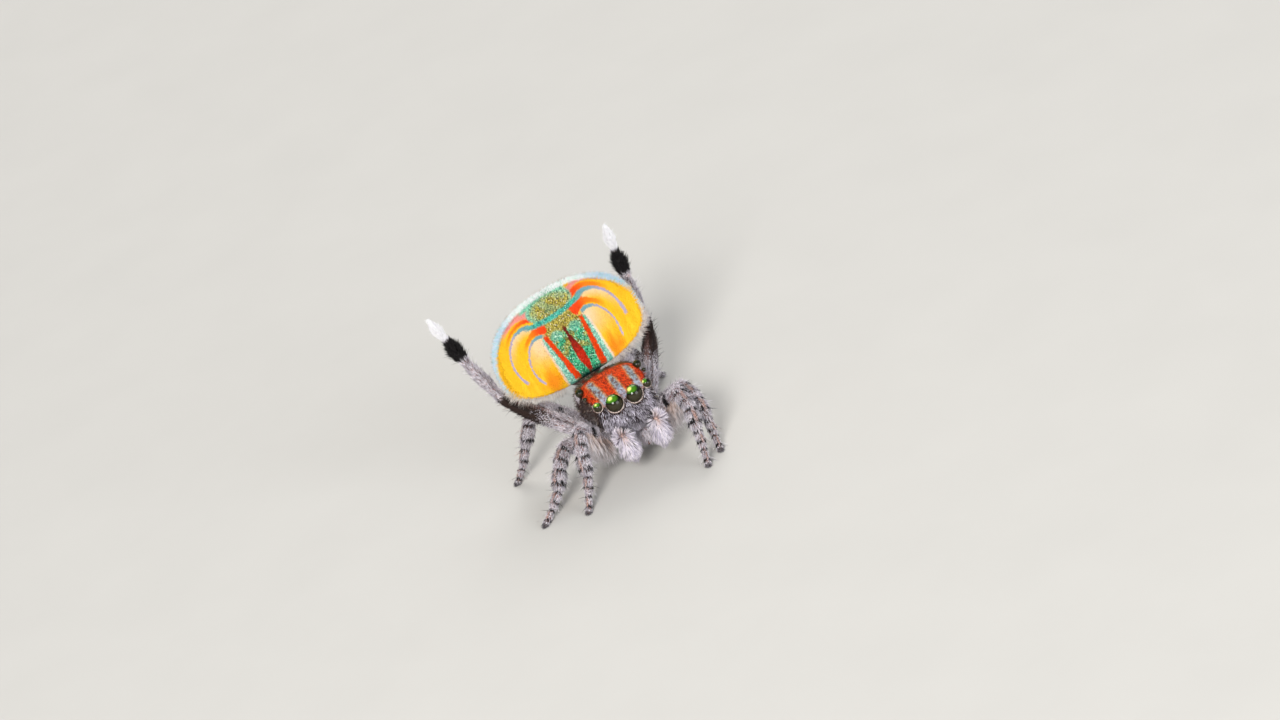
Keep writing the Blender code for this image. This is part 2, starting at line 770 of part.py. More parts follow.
def main():
    """Build every node, then set the whole on the origin and scale it to metres."""
    clear_scene()
    nodes = make_eyes()
    nodes += [make_carapace(), make_sternum(), make_pedicel(), make_spinnerets()]
    nodes += make_fan()
    for side in ("left", "right"):
        nodes.append(make_chelicera(side))
        nodes += make_palp(side)
        for leg in HIPS:
            nodes += make_leg(leg, side)
    corners = [node.location + vertex.co for node in nodes for vertex in node.data.vertices]
    middle = Vector(
        (
            (min(c.x for c in corners) + max(c.x for c in corners)) / 2,
            (min(c.y for c in corners) + max(c.y for c in corners)) / 2,
            0.0,
        )
    )
    spider = bpy.data.objects.new("spider", None)
    bpy.context.scene.collection.objects.link(spider)
    for node in nodes:
        node.data.transform(Matrix.Scale(MM, 4))
        node.location = (node.location - middle) * MM
        node.parent = spider
    print("middle of the footprint, mm:", tuple(round(value, 4) for value in middle))


main()
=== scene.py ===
"""Male peacock spider in its courtship display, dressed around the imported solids.

Lengths in the classes below are millimetres in the maker's frame, where the spider faces -Y,
its own left is +X and the floor is z = 0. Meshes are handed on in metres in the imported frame.
"""

from __future__ import annotations

import logging
import math
from dataclasses import dataclass, field, replace
from enum import Enum

import bpy
import numpy as np
from mathutils import Matrix, Vector

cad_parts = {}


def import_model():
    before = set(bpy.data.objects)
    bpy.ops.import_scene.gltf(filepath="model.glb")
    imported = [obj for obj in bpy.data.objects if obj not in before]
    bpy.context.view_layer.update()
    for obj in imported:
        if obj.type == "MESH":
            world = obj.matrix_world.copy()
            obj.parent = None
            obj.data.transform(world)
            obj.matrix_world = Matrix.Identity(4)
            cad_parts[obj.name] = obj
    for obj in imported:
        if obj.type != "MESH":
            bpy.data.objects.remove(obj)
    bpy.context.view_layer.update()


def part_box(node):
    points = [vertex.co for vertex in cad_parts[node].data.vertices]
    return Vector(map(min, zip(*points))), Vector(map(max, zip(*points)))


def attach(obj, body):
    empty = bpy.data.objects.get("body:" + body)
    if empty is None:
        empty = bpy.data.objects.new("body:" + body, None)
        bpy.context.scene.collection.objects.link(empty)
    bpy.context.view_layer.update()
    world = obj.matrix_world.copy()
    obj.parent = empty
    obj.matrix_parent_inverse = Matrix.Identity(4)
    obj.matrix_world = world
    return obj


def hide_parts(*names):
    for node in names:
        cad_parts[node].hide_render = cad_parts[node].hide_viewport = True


LOG = logging.getLogger("peacock_spider")
MM = 0.001
SIDES = ("left", "right")
Array = np.ndarray
Colour = tuple[float, float, float]
Point = tuple[float, float, float]


class Tuft(Enum):
    """Shapes that the coat is made of."""

    HAIR = "hair"
    BRISTLE = "bristle"
    SCALE = "scale"


# Rings of a lock as height, share of the width and bow, then the sag of its tip.
LOCKS = {
    Tuft.HAIR: (((0.0, 1.0, 0.0), (0.5, 0.8, 0.05)), -0.10),
    Tuft.BRISTLE: (((0.0, 0.8, 0.0), (0.35, 1.0, 0.05), (0.75, 0.65, 0.02)), -0.16),
}
LOCK_SIDES = 3
# A flat scale: root, shoulders, tip, upper and lower keel, and the corners before the tip.
SCALE_POINTS = (
    (0, 0, 0), (-0.5, 0, 0.42), (0.5, 0, 0.42), (0, 0, 1), (0, 0.12, 0.5), (0, -0.10, 0.5),
    (-0.3, 0, 0.85), (0.3, 0, 0.85),
)
SCALE_FACES = (
    (0, 4, 1), (0, 2, 4), (1, 4, 6), (6, 4, 3), (3, 4, 7), (7, 4, 2),
    (0, 1, 5), (0, 5, 2), (1, 6, 5), (6, 3, 5), (3, 7, 5), (7, 2, 5),
)


def srgb(red: int, green: int, blue: int) -> Colour:
    """Return a colour seen on screen, 0 to 255, as the light values that shaders take."""
    shares = (v / 255 for v in (red, green, blue))
    return tuple(s / 12.92 if s <= 0.04045 else ((s + 0.055) / 1.055) ** 2.4 for s in shares)


def unit(rows: Array) -> Array:
    """Return vectors scaled to length one."""
    return rows / np.maximum(np.linalg.norm(rows, axis=-1, keepdims=True), 1e-9)


def mirrored(point: tuple[float, ...] | Array, side: str) -> Array:
    """Return a point given for the left side on the side asked for."""
    x, y, z = point
    return np.array((x if side == "left" else -x, y, z), float)


def ease(values: Array, low: float, high: float) -> Array:
    """Return a smooth step from 0 at low to 1 at high."""
    t = np.clip((values - low) / (high - low), 0.0, 1.0)
    return t * t * (3 - 2 * t)


def through(at: Array, knots: Array, values: Array) -> Array:
    """Return a smooth curve through values given at knots.

    Args:
        at: Places at which the curve is wanted.
        knots: Increasing places of the given values.
        values: One row a knot.

    Returns:
        One row for each place.
    """
    values = np.asarray(values, float).reshape(len(knots), -1)
    knots = np.asarray(knots, float)
    slopes = np.gradient(values, knots, axis=0)
    steps = np.diff(values, axis=0) / np.diff(knots)[:, None]
    for i in range(1, len(knots) - 1):
        flat = steps[i - 1] * steps[i] <= 0
        slopes[i][flat] *= 0.25
    k = np.clip(np.searchsorted(knots, at, side="right") - 1, 0, len(knots) - 2)
    wide = (knots[k + 1] - knots[k])[:, None]
    t = ((at - knots[k]) / wide[:, 0])[:, None]
    return (
        (2 * t**3 - 3 * t**2 + 1) * values[k]
        + (t**3 - 2 * t**2 + t) * wide * slopes[k]
        + (-2 * t**3 + 3 * t**2) * values[k + 1]
        + (t**3 - t**2) * wide * slopes[k + 1]
    )


def superellipse(angle: Array, power: float | Array) -> tuple[Array, Array]:
    """Return the points of a unit superellipse at the angles."""
    c, s = np.cos(angle), np.sin(angle)
    return np.sign(c) * np.abs(c) ** (2 / power), np.sign(s) * np.abs(s) ** (2 / power)


def steady(way: Point, count: int) -> Array:
    """Return one direction for every point of a skin."""
    return np.broadcast_to(np.array(way), (count, 3))


def rounded(rows: int, start: tuple[float, ...], end: tuple[float, ...]) -> Array:
    """Return shares of the width that round off both ends of a body of rings."""
    return np.concatenate([start, np.ones(rows - len(start) - len(end)), end])


def ball(rows: int, sides: int, pole: float) -> Array:
    """Return a unit ball's points as rings about Y that stop at an angle from its poles.

    Args:
        rows: Rings from pole to pole.
        sides: Points of a ring.
        pole: Angle left open at each pole, in radians.

    Returns:
        The points, rows by sides by 3.
    """
    lat = np.linspace(pole, np.pi - pole, rows)[:, None]
    lon = (2 * np.pi * np.arange(sides) / sides)[None]
    level = np.cos(lat) * np.ones_like(lon)
    return np.stack([np.sin(lat) * np.cos(lon), level, np.sin(lat) * np.sin(lon)], -1)


def add_object(name: str, data: bpy.types.ID) -> bpy.types.Object:
    """Return a new object of the scene.

    Args:
        name: Name of the object.
        data: Its mesh, camera or light.

    Returns:
        The object.
    """
    thing = bpy.data.objects.new(name, data)
    bpy.context.scene.collection.objects.link(thing)
    return thing


@dataclass
class Skin:
    """Points, faces and point values of a closed surface, part by part, in millimetres."""

    points: list[Array] = field(default_factory=list)
    faces: list[Array] = field(default_factory=list)
    values: dict[str, list[Array]] = field(default_factory=dict)
    total: int = 0
    # Empty edge of each part's tile on the coat's map.
    margin: float = 0.04

    def add_grid(self, grid: Array, tile: tuple[float, float, float, float], **values: Array) -> None:
        """Add a surface of rings, each end closed by a point.

        Args:
            grid: Rows of ring points, rows by sides by 3.
            tile: Low u, low v, width and height of the part on the coat's map.
            values: Point values, rows by sides by 3.
        """
        rows, sides, _ = grid.shape
        v, u = np.meshgrid(np.linspace(0, 1, rows), np.arange(sides) / sides, indexing="ij")
        low_u, low_v, wide, high = tile
        u, v = (self.margin + (1 - 2 * self.margin) * share for share in (u, v))
        bake = np.stack([low_u + wide * u, low_v + high * v, 0 * u], axis=-1)
        values = {**values, "bake": bake}
        index = self.total + np.arange(rows * sides).reshape(rows, sides)
        a, b = index[:-1], index[1:]
        quads = np.stack([a, np.roll(a, -1, 1), np.roll(b, -1, 1), b], axis=-1).reshape(-1, 4)
        first, last = self.total + rows * sides, self.total + rows * sides + 1
        caps = [
            np.stack([np.roll(index[0], -1), index[0], np.full(sides, first), np.full(sides, -1)], -1),
            np.stack([index[-1], np.roll(index[-1], -1), np.full(sides, last), np.full(sides, -1)], -1),
        ]
        points = np.concatenate([grid.reshape(-1, 3), grid[0].mean(0)[None], grid[-1].mean(0)[None]])
        faces = np.concatenate([quads, *caps])
        triangles = points[quads[:, :3] - self.total]
        centre = points.mean(0)
        outward = np.einsum(
            "ij,ij->", np.cross(triangles[:, 1] - triangles[:, 0], triangles[:, 2] - triangles[:, 0]),
            triangles.mean(1) - centre,
        )
        if outward < 0:
            flipped = faces.copy()
            flipped[:, :3] = faces[:, 2::-1]
            square = faces[:, 3] >= 0
            flipped[square] = faces[square][:, ::-1]
            faces = flipped
        self.points.append(points)
        self.faces.append(faces)
        for name, rows_of in values.items():
            ends = [rows_of[0].mean(0)[None], rows_of[-1].mean(0)[None]]
            flat = np.concatenate([rows_of.reshape(-1, 3), *ends])
            self.values.setdefault(name, []).append(flat)
        self.total += len(points)

    def array(self, name: str) -> Array:
        """Return one point value over the whole skin."""
        return np.concatenate(self.values[name])

    def all_points(self) -> Array:
        """Return every point of the skin."""
        return np.concatenate(self.points)


@dataclass
class Workshop:
    """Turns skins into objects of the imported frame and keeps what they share."""

    shift: Array

    def to_row(self, points: Array) -> Array:
        """Return points of the maker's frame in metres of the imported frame."""
        return (points + self.shift) * MM

    def mesh_of(self, name: str, skin: Skin, names: tuple[str, ...]) -> bpy.types.Mesh:
        """Return a smooth mesh of a skin with the named point values.

        Args:
            name: Name of the mesh.
            skin: The skin.
            names: Point values to keep.

        Returns:
            The mesh.
        """
        faces = [row[:4].tolist() if row[3] >= 0 else row[:3].tolist() for part in skin.faces for row in part]
        mesh = bpy.data.meshes.new(name)
        mesh.from_pydata(self.to_row(skin.all_points()).tolist(), [], faces, shade_flat=False)
        for value in names:
            layer = mesh.attributes.new(value, "FLOAT_VECTOR", "POINT")
            layer.data.foreach_set("vector", skin.array(value).astype(np.float32).ravel())
        mesh.update()
        return mesh

    def piece(self, name: str, skin: Skin, material: bpy.types.Material, slot: str, *nodes: str) -> None:
        """Make a skin an object that rides with the spider and stands for some nodes.

        Args:
            name: Name of the piece.
            skin: Its skin.
            material: Its material.
            slot: Material slot of the record.
            *nodes: Nodes of the solids that it stands for.
        """
        mesh = self.mesh_of(name, skin, ("pattern",))
        mesh.materials.append(material)
        self.hand_over(add_object(name, mesh), slot, *nodes)

    def hand_over(self, thing: bpy.types.Object, slot: str, *nodes: str) -> None:
        """Hang a piece on the spider's root and hide the nodes that it stands for.

        Args:
            thing: The piece.
            slot: Material slot of the record; not used.
            *nodes: Nodes of the solids that it stands for.
        """
        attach(thing, "root")
        if nodes:
            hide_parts(*nodes)
        LOG.info("%s: %d faces", thing.name, len(thing.data.polygons))


# Node trees


class Signal:
    """A node socket that takes part in Python expressions."""

    def __init__(self, bench: NodeBench, socket: bpy.types.NodeSocket) -> None:
        """Keep the socket and the bench whose tree it belongs to."""
        self.bench = bench
        self.socket = socket

    def maths(self, operation: str, *others: float | Signal, swap: bool = False) -> Signal:
        """Return the result of a Math node on this socket and others.

        Args:
            operation: Name of the operation.
            *others: The other values.
            swap: Whether the other value comes first.

        Returns:
            The result.
        """
        values = [self, *others]
        if swap:
            values.reverse()
        return self.bench.output("ShaderNodeMath", {"operation": operation}, dict(enumerate(values)))

    def __add__(self, other: float | Signal) -> Signal:
        """Return the sum."""
        return self.maths("ADD", other)

    def __radd__(self, other: float | Signal) -> Signal:
        """Return the sum."""
        return self.maths("ADD", other)

    def __sub__(self, other: float | Signal) -> Signal:
        """Return the difference."""
        return self.maths("SUBTRACT", other)

    def __rsub__(self, other: float | Signal) -> Signal:
        """Return the difference, turned round."""
        return self.maths("SUBTRACT", other, swap=True)

    def __mul__(self, other: float | Signal) -> Signal:
        """Return the product."""
        return self.maths("MULTIPLY", other)

    def __rmul__(self, other: float | Signal) -> Signal:
        """Return the product."""
        return self.maths("MULTIPLY", other)

    def __truediv__(self, other: float | Signal) -> Signal:
        """Return the quotient."""
        return self.maths("DIVIDE", other)

    def __pow__(self, other: float | Signal) -> Signal:
        """Return the power."""
        return self.maths("POWER", other)

    def __abs__(self) -> Signal:
        """Return the size without its sign."""
        return self.maths("ABSOLUTE")

    def most(self, other: float | Signal) -> Signal:
        """Return the larger of two."""
        return self.maths("MAXIMUM", other)

    def least(self, other: float | Signal) -> Signal:
        """Return the smaller of two."""
        return self.maths("MINIMUM", other)

    def rise(self, low: float | Signal, high: float | Signal) -> Signal:
        """Return a smooth step from 0 at low to 1 at high.

        Args:
            low: Value at which the step starts.
            high: Value at which it ends.

        Returns:
            The step.
        """
        smooth = {"interpolation_type": "SMOOTHSTEP"}
        return self.bench.output("ShaderNodeMapRange", smooth, {0: self, 1: low, 2: high})

    def band(self, middle: float | Signal, half: float | Signal, soft: float) -> Signal:
        """Return 1 within half of the middle, falling to 0 over a soft edge."""
        edge = abs(self - middle) - half
        return 1 - edge.rise(-soft / 2, soft / 2)


class NodeBench:
    """A node tree being made, with the one method that adds nodes."""

    def __init__(self, tree: bpy.types.NodeTree) -> None:
        """Keep the tree."""
        self.tree = tree

    def node(
        self, kind: str, settings: dict[str, object], sockets: dict[int | str, object]
    ) -> bpy.types.Node:
        """Add a node.

        Args:
            kind: The node's type.
            settings: Its properties, set first.
            sockets: Values or links of its inputs, by place or name.

        Returns:
            The node.
        """
        node = self.tree.nodes.new(kind)
        for key, value in settings.items():
            setattr(node, key, value)
        for key, value in sockets.items():
            self.feed(node.inputs[key], value)
        return node

    def output(
        self, kind: str, settings: dict[str, object], sockets: dict[int | str, object], place: int | str = 0
    ) -> Signal:
        """Add a node and return one of its outputs, taking what node() takes and the output's place."""
        return Signal(self, self.node(kind, settings, sockets).outputs[place])

    def feed(self, socket: bpy.types.NodeSocket, value: object) -> None:
        """Link a signal to a socket, or set a plain value.

        Args:
            socket: The input.
            value: A signal, a colour without alpha or another plain value.
        """
        if isinstance(value, Signal):
            self.tree.links.new(value.socket, socket)
        elif isinstance(value, tuple) and len(socket.default_value) > len(value):
            socket.default_value = (*value, 1.0)
        else:
            socket.default_value = value

    def parts(self, vector: Signal) -> tuple[Signal, Signal, Signal]:
        """Return the three parts of a vector."""
        return tuple(Signal(self, s) for s in self.node("ShaderNodeSeparateXYZ", {}, {0: vector}).outputs)


class GeometryBench(NodeBench):
    """A Geometry Nodes tree being made."""

    def named(self, name: str) -> Signal:
        """Return a vector attribute of the skin."""
        kind = {"data_type": "FLOAT_VECTOR"}
        return self.output("GeometryNodeInputNamedAttribute", kind, {"Name": name}, "Attribute")

    def vector(self, operation: str, a: Signal, b: Signal | Point) -> Signal:
        """Return the result of a Vector Math node on two vectors."""
        return self.output("ShaderNodeVectorMath", {"operation": operation}, {0: a, 1: b})

    def scaled(self, vector: Signal, by: Signal | float) -> Signal:
        """Return a vector times a number."""
        return self.output("ShaderNodeVectorMath", {"operation": "SCALE"}, {0: vector, 3: by})

    def chance(self, low: float, high: float, seed: Signal) -> Signal:
        """Return a random number for each tuft."""
        sockets = {2: low, 3: high, "Seed": seed}
        return self.output("FunctionNodeRandomValue", {"data_type": "FLOAT"}, sockets, 1)


class Bench(NodeBench):
    """A material being made."""

    def __init__(self, name: str) -> None:
        """Start an empty material with its shader and output.

        Args:
            name: Name of the material.
        """
        self.material = bpy.data.materials.new(name)
        self.material.use_nodes = True
        super().__init__(self.material.node_tree)
        self.shader = self.tree.nodes["Principled BSDF"]

    def place(self, name: str) -> Signal:
        """Return a vector attribute whole."""
        return self.output("ShaderNodeAttribute", {"attribute_name": name}, {}, "Vector")

    def attribute(self, name: str) -> tuple[Signal, Signal, Signal]:
        """Return the three parts of a vector attribute."""
        return self.parts(self.place(name))

    def number(self, name: str) -> Signal:
        """Return a float attribute."""
        return self.output("ShaderNodeAttribute", {"attribute_name": name}, {}, "Fac")

    def noise(self, per_mm: float, detail: float = 2.0, place: Signal | None = None) -> Signal:
        """Return noise on object coordinates, or at a place given in millimetres.

        Args:
            per_mm: Waves a millimetre.
            detail: Finer layers of noise.
            place: Where to read it, or nothing for object coordinates.

        Returns:
            The noise, about 0.3 to 0.7.
        """
        if place is None:
            place = self.output("ShaderNodeTexCoord", {}, {}, "Object")
            per_mm = per_mm / MM
        return self.output("ShaderNodeTexNoise", {}, {"Vector": place, "Scale": per_mm, "Detail": detail})

    def paint(self, under: object, over: object, mask: float | Signal) -> Signal:
        """Return one colour laid over another by a mask."""
        return self.output("ShaderNodeMix", {"data_type": "RGBA"}, {0: mask, 6: under, 7: over}, 2)

    def shade(self, colour: Signal, by: Signal) -> Signal:
        """Return a colour multiplied by a grey.

        Args:
            colour: The colour.
            by: The grey.

        Returns:
            The darker or lighter colour.
        """
        grey = self.output("ShaderNodeCombineColor", {}, {0: by, 1: by, 2: by})
        multiply = {"data_type": "RGBA", "blend_type": "MULTIPLY"}
        return self.output("ShaderNodeMix", multiply, {0: 1.0, 6: colour, 7: grey}, 2)

    def bump(self, height: Signal, reach_mm: float, strength: float = 0.6) -> None:
        """Feed a height to the shader's normal."""
        sockets = {"Strength": strength, "Distance": reach_mm * MM, "Height": height}
        self.feed(self.shader.inputs["Normal"], self.output("ShaderNodeBump", {}, sockets))

    def finish(self, colour: object, **sockets: object) -> bpy.types.Material:
        """Set the shader's sockets and return the material.

        Args:
            colour: Colour of the surface.
            **sockets: Other inputs, with _ for a space.

        Returns:
            The material.
        """
        self.feed(self.shader.inputs["Base Color"], colour)
        for key, value in sockets.items():
            self.feed(self.shader.inputs[key.replace("_", " ")], value)
        return self.material


# Tufts and the tree that plants them


def lock_shape(rings: tuple[Point, ...], sag: float) -> tuple[list[Point], list[tuple[int, ...]]]:
    """Return the points and faces of a lock that ends in a tip.

    Args:
        rings: Height, share of the width and bow of each ring.
        sag: How far the tip hangs back.

    Returns:
        Points and faces.
    """
    points, faces = [], []
    for height, share, bow in rings:
        for k in range(LOCK_SIDES):
            angle = 2 * math.pi * (k + 0.25) / LOCK_SIDES
            points.append((0.5 * share * math.cos(angle), 0.5 * share * math.sin(angle) + bow, height))
    points.append((0.0, sag, 1.0))
    top = LOCK_SIDES * (len(rings) - 1)
    for low in range(0, top, LOCK_SIDES):
        for k in range(LOCK_SIDES):
            a, b = low + k, low + (k + 1) % LOCK_SIDES
            faces += [(a, b, b + LOCK_SIDES), (a, b + LOCK_SIDES, a + LOCK_SIDES)]
    faces += [(top + k, top + (k + 1) % LOCK_SIDES, len(points) - 1) for k in range(LOCK_SIDES)]
    faces.append((2, 1, 0))
    return points, faces


def make_tuft(kind: Tuft) -> bpy.types.Object:
    """Return one tuft of unit length along Z, its outer side to +Y, hidden from the scene.

    Args:
        kind: Shape of the tuft.

    Returns:
        The object, not linked to the scene.
    """
    points, faces = (SCALE_POINTS, SCALE_FACES) if kind is Tuft.SCALE else lock_shape(*LOCKS[kind])
    mesh = bpy.data.meshes.new(f"tuft_{kind.value}")
    mesh.from_pydata(points, [], faces, shade_flat=False)
    along = [height for _, _, height in points]
    mesh.attributes.new("along", "FLOAT", "POINT").data.foreach_set("value", along)
    leaf = np.array([(across + 0.5, height, 0.0) for across, _, height in points], np.float32)
    mesh.attributes.new("leaf", "FLOAT_VECTOR", "POINT").data.foreach_set("vector", leaf.ravel())
    return bpy.data.objects.new(f"tuft_{kind.value}", mesh)


@dataclass(frozen=True)
class CoatTree:
    """Geometry Nodes tree that plants tufts on a skin and joins them into one mesh."""

    name: str = "plant_coat"
    width_range: tuple[float, float] = (0.75, 1.25)
    # Width of a tuft's patch on the coat's map.
    patch: float = 0.003
    kinds: tuple[tuple[str, str], ...] = (
        ("Geometry", "Geometry"), ("Tuft", "Object"), ("Density", "Float"), ("Length", "Float"),
        ("Width", "Float"), ("Spread", "Float"), ("Vary", "Float"), ("Seed", "Int"), ("Material", "Material"),
    )

    def build(self) -> tuple[bpy.types.NodeTree, dict[str, str]]:
        """Return the tree and the identifiers of its inputs by name.

        Returns:
            The tree, and the identifier of each input under its name.
        """
        tree = bpy.data.node_groups.new(self.name, "GeometryNodeTree")
        tree.interface.new_socket("Geometry", in_out="OUTPUT", socket_type="NodeSocketGeometry")
        inputs = {
            name: tree.interface.new_socket(name, in_out="INPUT", socket_type=f"NodeSocket{kind}").identifier
            for name, kind in self.kinds
        }
        bench = GeometryBench(tree)
        enter, leave = tree.nodes.new("NodeGroupInput"), tree.nodes.new("NodeGroupOutput")
        given = {socket.name: Signal(bench, socket) for socket in enter.outputs}
        seed = given["Seed"]

        share, longer, lift = bench.parts(bench.named("cover"))
        planted = bench.node(
            "GeometryNodeDistributePointsOnFaces", {"distribute_method": "RANDOM"},
            {"Mesh": given["Geometry"], "Density": given["Density"] * share, "Seed": seed},
        )
        normal = Signal(bench, planted.outputs["Normal"])
        roots = bench.output(
            "GeometryNodeStoreNamedAttribute", {"data_type": "FLOAT", "domain": "POINT"},
            {
                "Geometry": Signal(bench, planted.outputs["Points"]), "Name": "tint",
                "Value": bench.chance(0.0, 1.0, seed + 1.0),
            },
        )
        shake = bench.output(
            "FunctionNodeRandomValue", {"data_type": "FLOAT_VECTOR"},
            {0: (-1.0,) * 3, 1: (1.0,) * 3, "Seed": seed + 2.0},
        )
        lying = bench.vector("ADD", bench.scaled(bench.named("flow"), 1.0 - lift), bench.scaled(normal, lift))
        along = bench.vector("ADD", lying, bench.scaled(shake, given["Spread"]))
        turn = bench.output(
            "FunctionNodeAxesToRotation", {"primary_axis": "Z", "secondary_axis": "Y"},
            {0: bench.vector("NORMALIZE", along, (0.0, 0.0, 0.0)), 1: normal},
        )
        vary = 1.0 + given["Vary"] * bench.chance(-1.0, 1.0, seed + 3.0)
        length = given["Length"] * longer * vary
        width = given["Width"] * bench.chance(*self.width_range, seed + 4.0)
        size = bench.output("ShaderNodeCombineXYZ", {}, {"X": width, "Y": width, "Z": length})
        tuft = bench.output("GeometryNodeObjectInfo", {}, {"Object": given["Tuft"]}, "Geometry")
        planted_tufts = bench.output(
            "GeometryNodeInstanceOnPoints", {},
            {"Points": roots, "Instance": tuft, "Rotation": turn, "Scale": size},
        )
        whole = bench.output("GeometryNodeRealizeInstances", {}, {"Geometry": planted_tufts})
        place = bench.vector("ADD", bench.named("bake"), bench.scaled(bench.named("leaf"), self.patch))
        mapped = bench.output(
            "GeometryNodeStoreNamedAttribute", {"data_type": "FLOAT2", "domain": "CORNER"},
            {"Geometry": whole, "Name": "OFBake", "Value": place},
        )
        dressed = {"Geometry": mapped, "Material": given["Material"]}
        bench.feed(leave.inputs[0], bench.output("GeometryNodeSetMaterial", {}, dressed))
        return tree, inputs


@dataclass(frozen=True)
class Pelt:
    """How one piece of coat grows, in millimetres and tufts a square millimetre."""

    name: str
    kind: Tuft
    slot: str
    density: float
    length: float
    width: float
    # How far the tufts stray from the flow, and their lengths from the length.
    spread: float
    vary: float
    # How far they stand up, 0 to 1.
    lift: float
    seed: int


@dataclass
class Coat:
    """Plants tufts on skins."""

    shop: Workshop
    floor_reach: float = 0.03
    tufts: dict[Tuft, bpy.types.Object] = field(default_factory=dict)
    tree: bpy.types.NodeTree | None = None
    inputs: dict[str, str] = field(default_factory=dict)

    def grow(
        self, pelt: Pelt, skin: Skin, material: bpy.types.Material, share: Array, flow: Array,
        longer: float | Array = 1.0, lift: Array | None = None,
    ) -> None:
        """Grow one piece of coat.

        Args:
            pelt: What grows and how.
            skin: Skin that the roots stand on.
            material: Its material.
            share: Share of the density, for each point.
            flow: Way the coat lies, for each point.
            longer: Share of the length, for each point.
            lift: How far the tufts stand up, for each point, or the pelt's own.
        """
        cover = np.stack(np.broadcast_arrays(share, longer, pelt.lift if lift is None else lift), -1)
        bed = self.make_bed(pelt.name, skin, cover, unit(flow))
        modifier = self.plant(bed, pelt, material)
        graph = bpy.context.evaluated_depsgraph_get()
        seen = bed.evaluated_get(graph)
        mesh = bpy.data.meshes.new_from_object(seen, preserve_all_data_layers=True, depsgraph=graph)
        mesh.name = pelt.name
        bed.modifiers.remove(modifier)
        bed_mesh = bed.data
        bpy.data.objects.remove(bed, do_unlink=True)
        bpy.data.meshes.remove(bed_mesh)
        for key in ("cover", "flow", "bake", "leaf"):
            mesh.attributes.remove(mesh.attributes[key])
        self.keep_off_floor(mesh)
        self.shop.hand_over(add_object(pelt.name, mesh), pelt.slot)

    def make_bed(self, name: str, skin: Skin, cover: Array, flow: Array) -> bpy.types.Object:
        """Return the skin as an object whose points carry what the tree reads.

        Args:
            name: Name of the piece.
            skin: Skin that the roots stand on.
            cover: Share of the density, share of the length and lift, for each point.
            flow: Way the coat lies, for each point.

        Returns:
            The bed.
        """
        mesh = self.shop.mesh_of(f"{name}_bed", skin, ("pattern", "bake"))
        for key, rows in (("cover", cover), ("flow", flow)):
            layer = mesh.attributes.new(key, "FLOAT_VECTOR", "POINT")
            layer.data.foreach_set("vector", rows.astype(np.float32).ravel())
        return add_object(f"{name}_bed", mesh)

    def plant(self, bed: bpy.types.Object, pelt: Pelt, material: bpy.types.Material) -> bpy.types.Modifier:
        """Put the coat's tree on a bed with its inputs set.

        Args:
            bed: The skin as an object.
            pelt: What grows and how.
            material: Material of the tufts.

        Returns:
            The modifier.
        """
        if self.tree is None:
            self.tree, self.inputs = CoatTree().build()
        if pelt.kind not in self.tufts:
            self.tufts[pelt.kind] = make_tuft(pelt.kind)
        modifier = bed.modifiers.new("coat", "NODES")
        modifier.node_group = self.tree
        settings = {
            "Tuft": self.tufts[pelt.kind], "Density": pelt.density / MM**2, "Length": pelt.length * MM,
            "Width": pelt.width * MM, "Spread": pelt.spread, "Vary": pelt.vary, "Seed": pelt.seed,
            "Material": material,
        }
        for key, value in settings.items():
            modifier[self.inputs[key]] = value
        return modifier

    def keep_off_floor(self, mesh: bpy.types.Mesh) -> None:
        """Bend the tips that would pass through the floor so that they lie on it.

        Args:
            mesh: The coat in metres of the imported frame.
        """
        places = np.empty(3 * len(mesh.vertices), np.float32)
        mesh.vertices.foreach_get("co", places)
        z = places[2::3]
        near = self.floor_reach * MM
        z[:] = np.where(z < near, near * np.exp(np.minimum(z - near, 0.0) / near), z)
        mesh.vertices.foreach_set("co", places)
        mesh.update()


# Finishes


@dataclass(frozen=True)
class FanPlace:
    """Where a point of the fan lies, its noise, and the colours of the scales there."""

    bench: Bench
    x: Signal
    z: Signal
    tint: Signal
    grain: Signal
    soft: Signal
    # Random tone of the scales, with painted glints on the brightest.
    tone_and_glint: Signal
    green: Signal
    gold: Signal
    mint: Signal


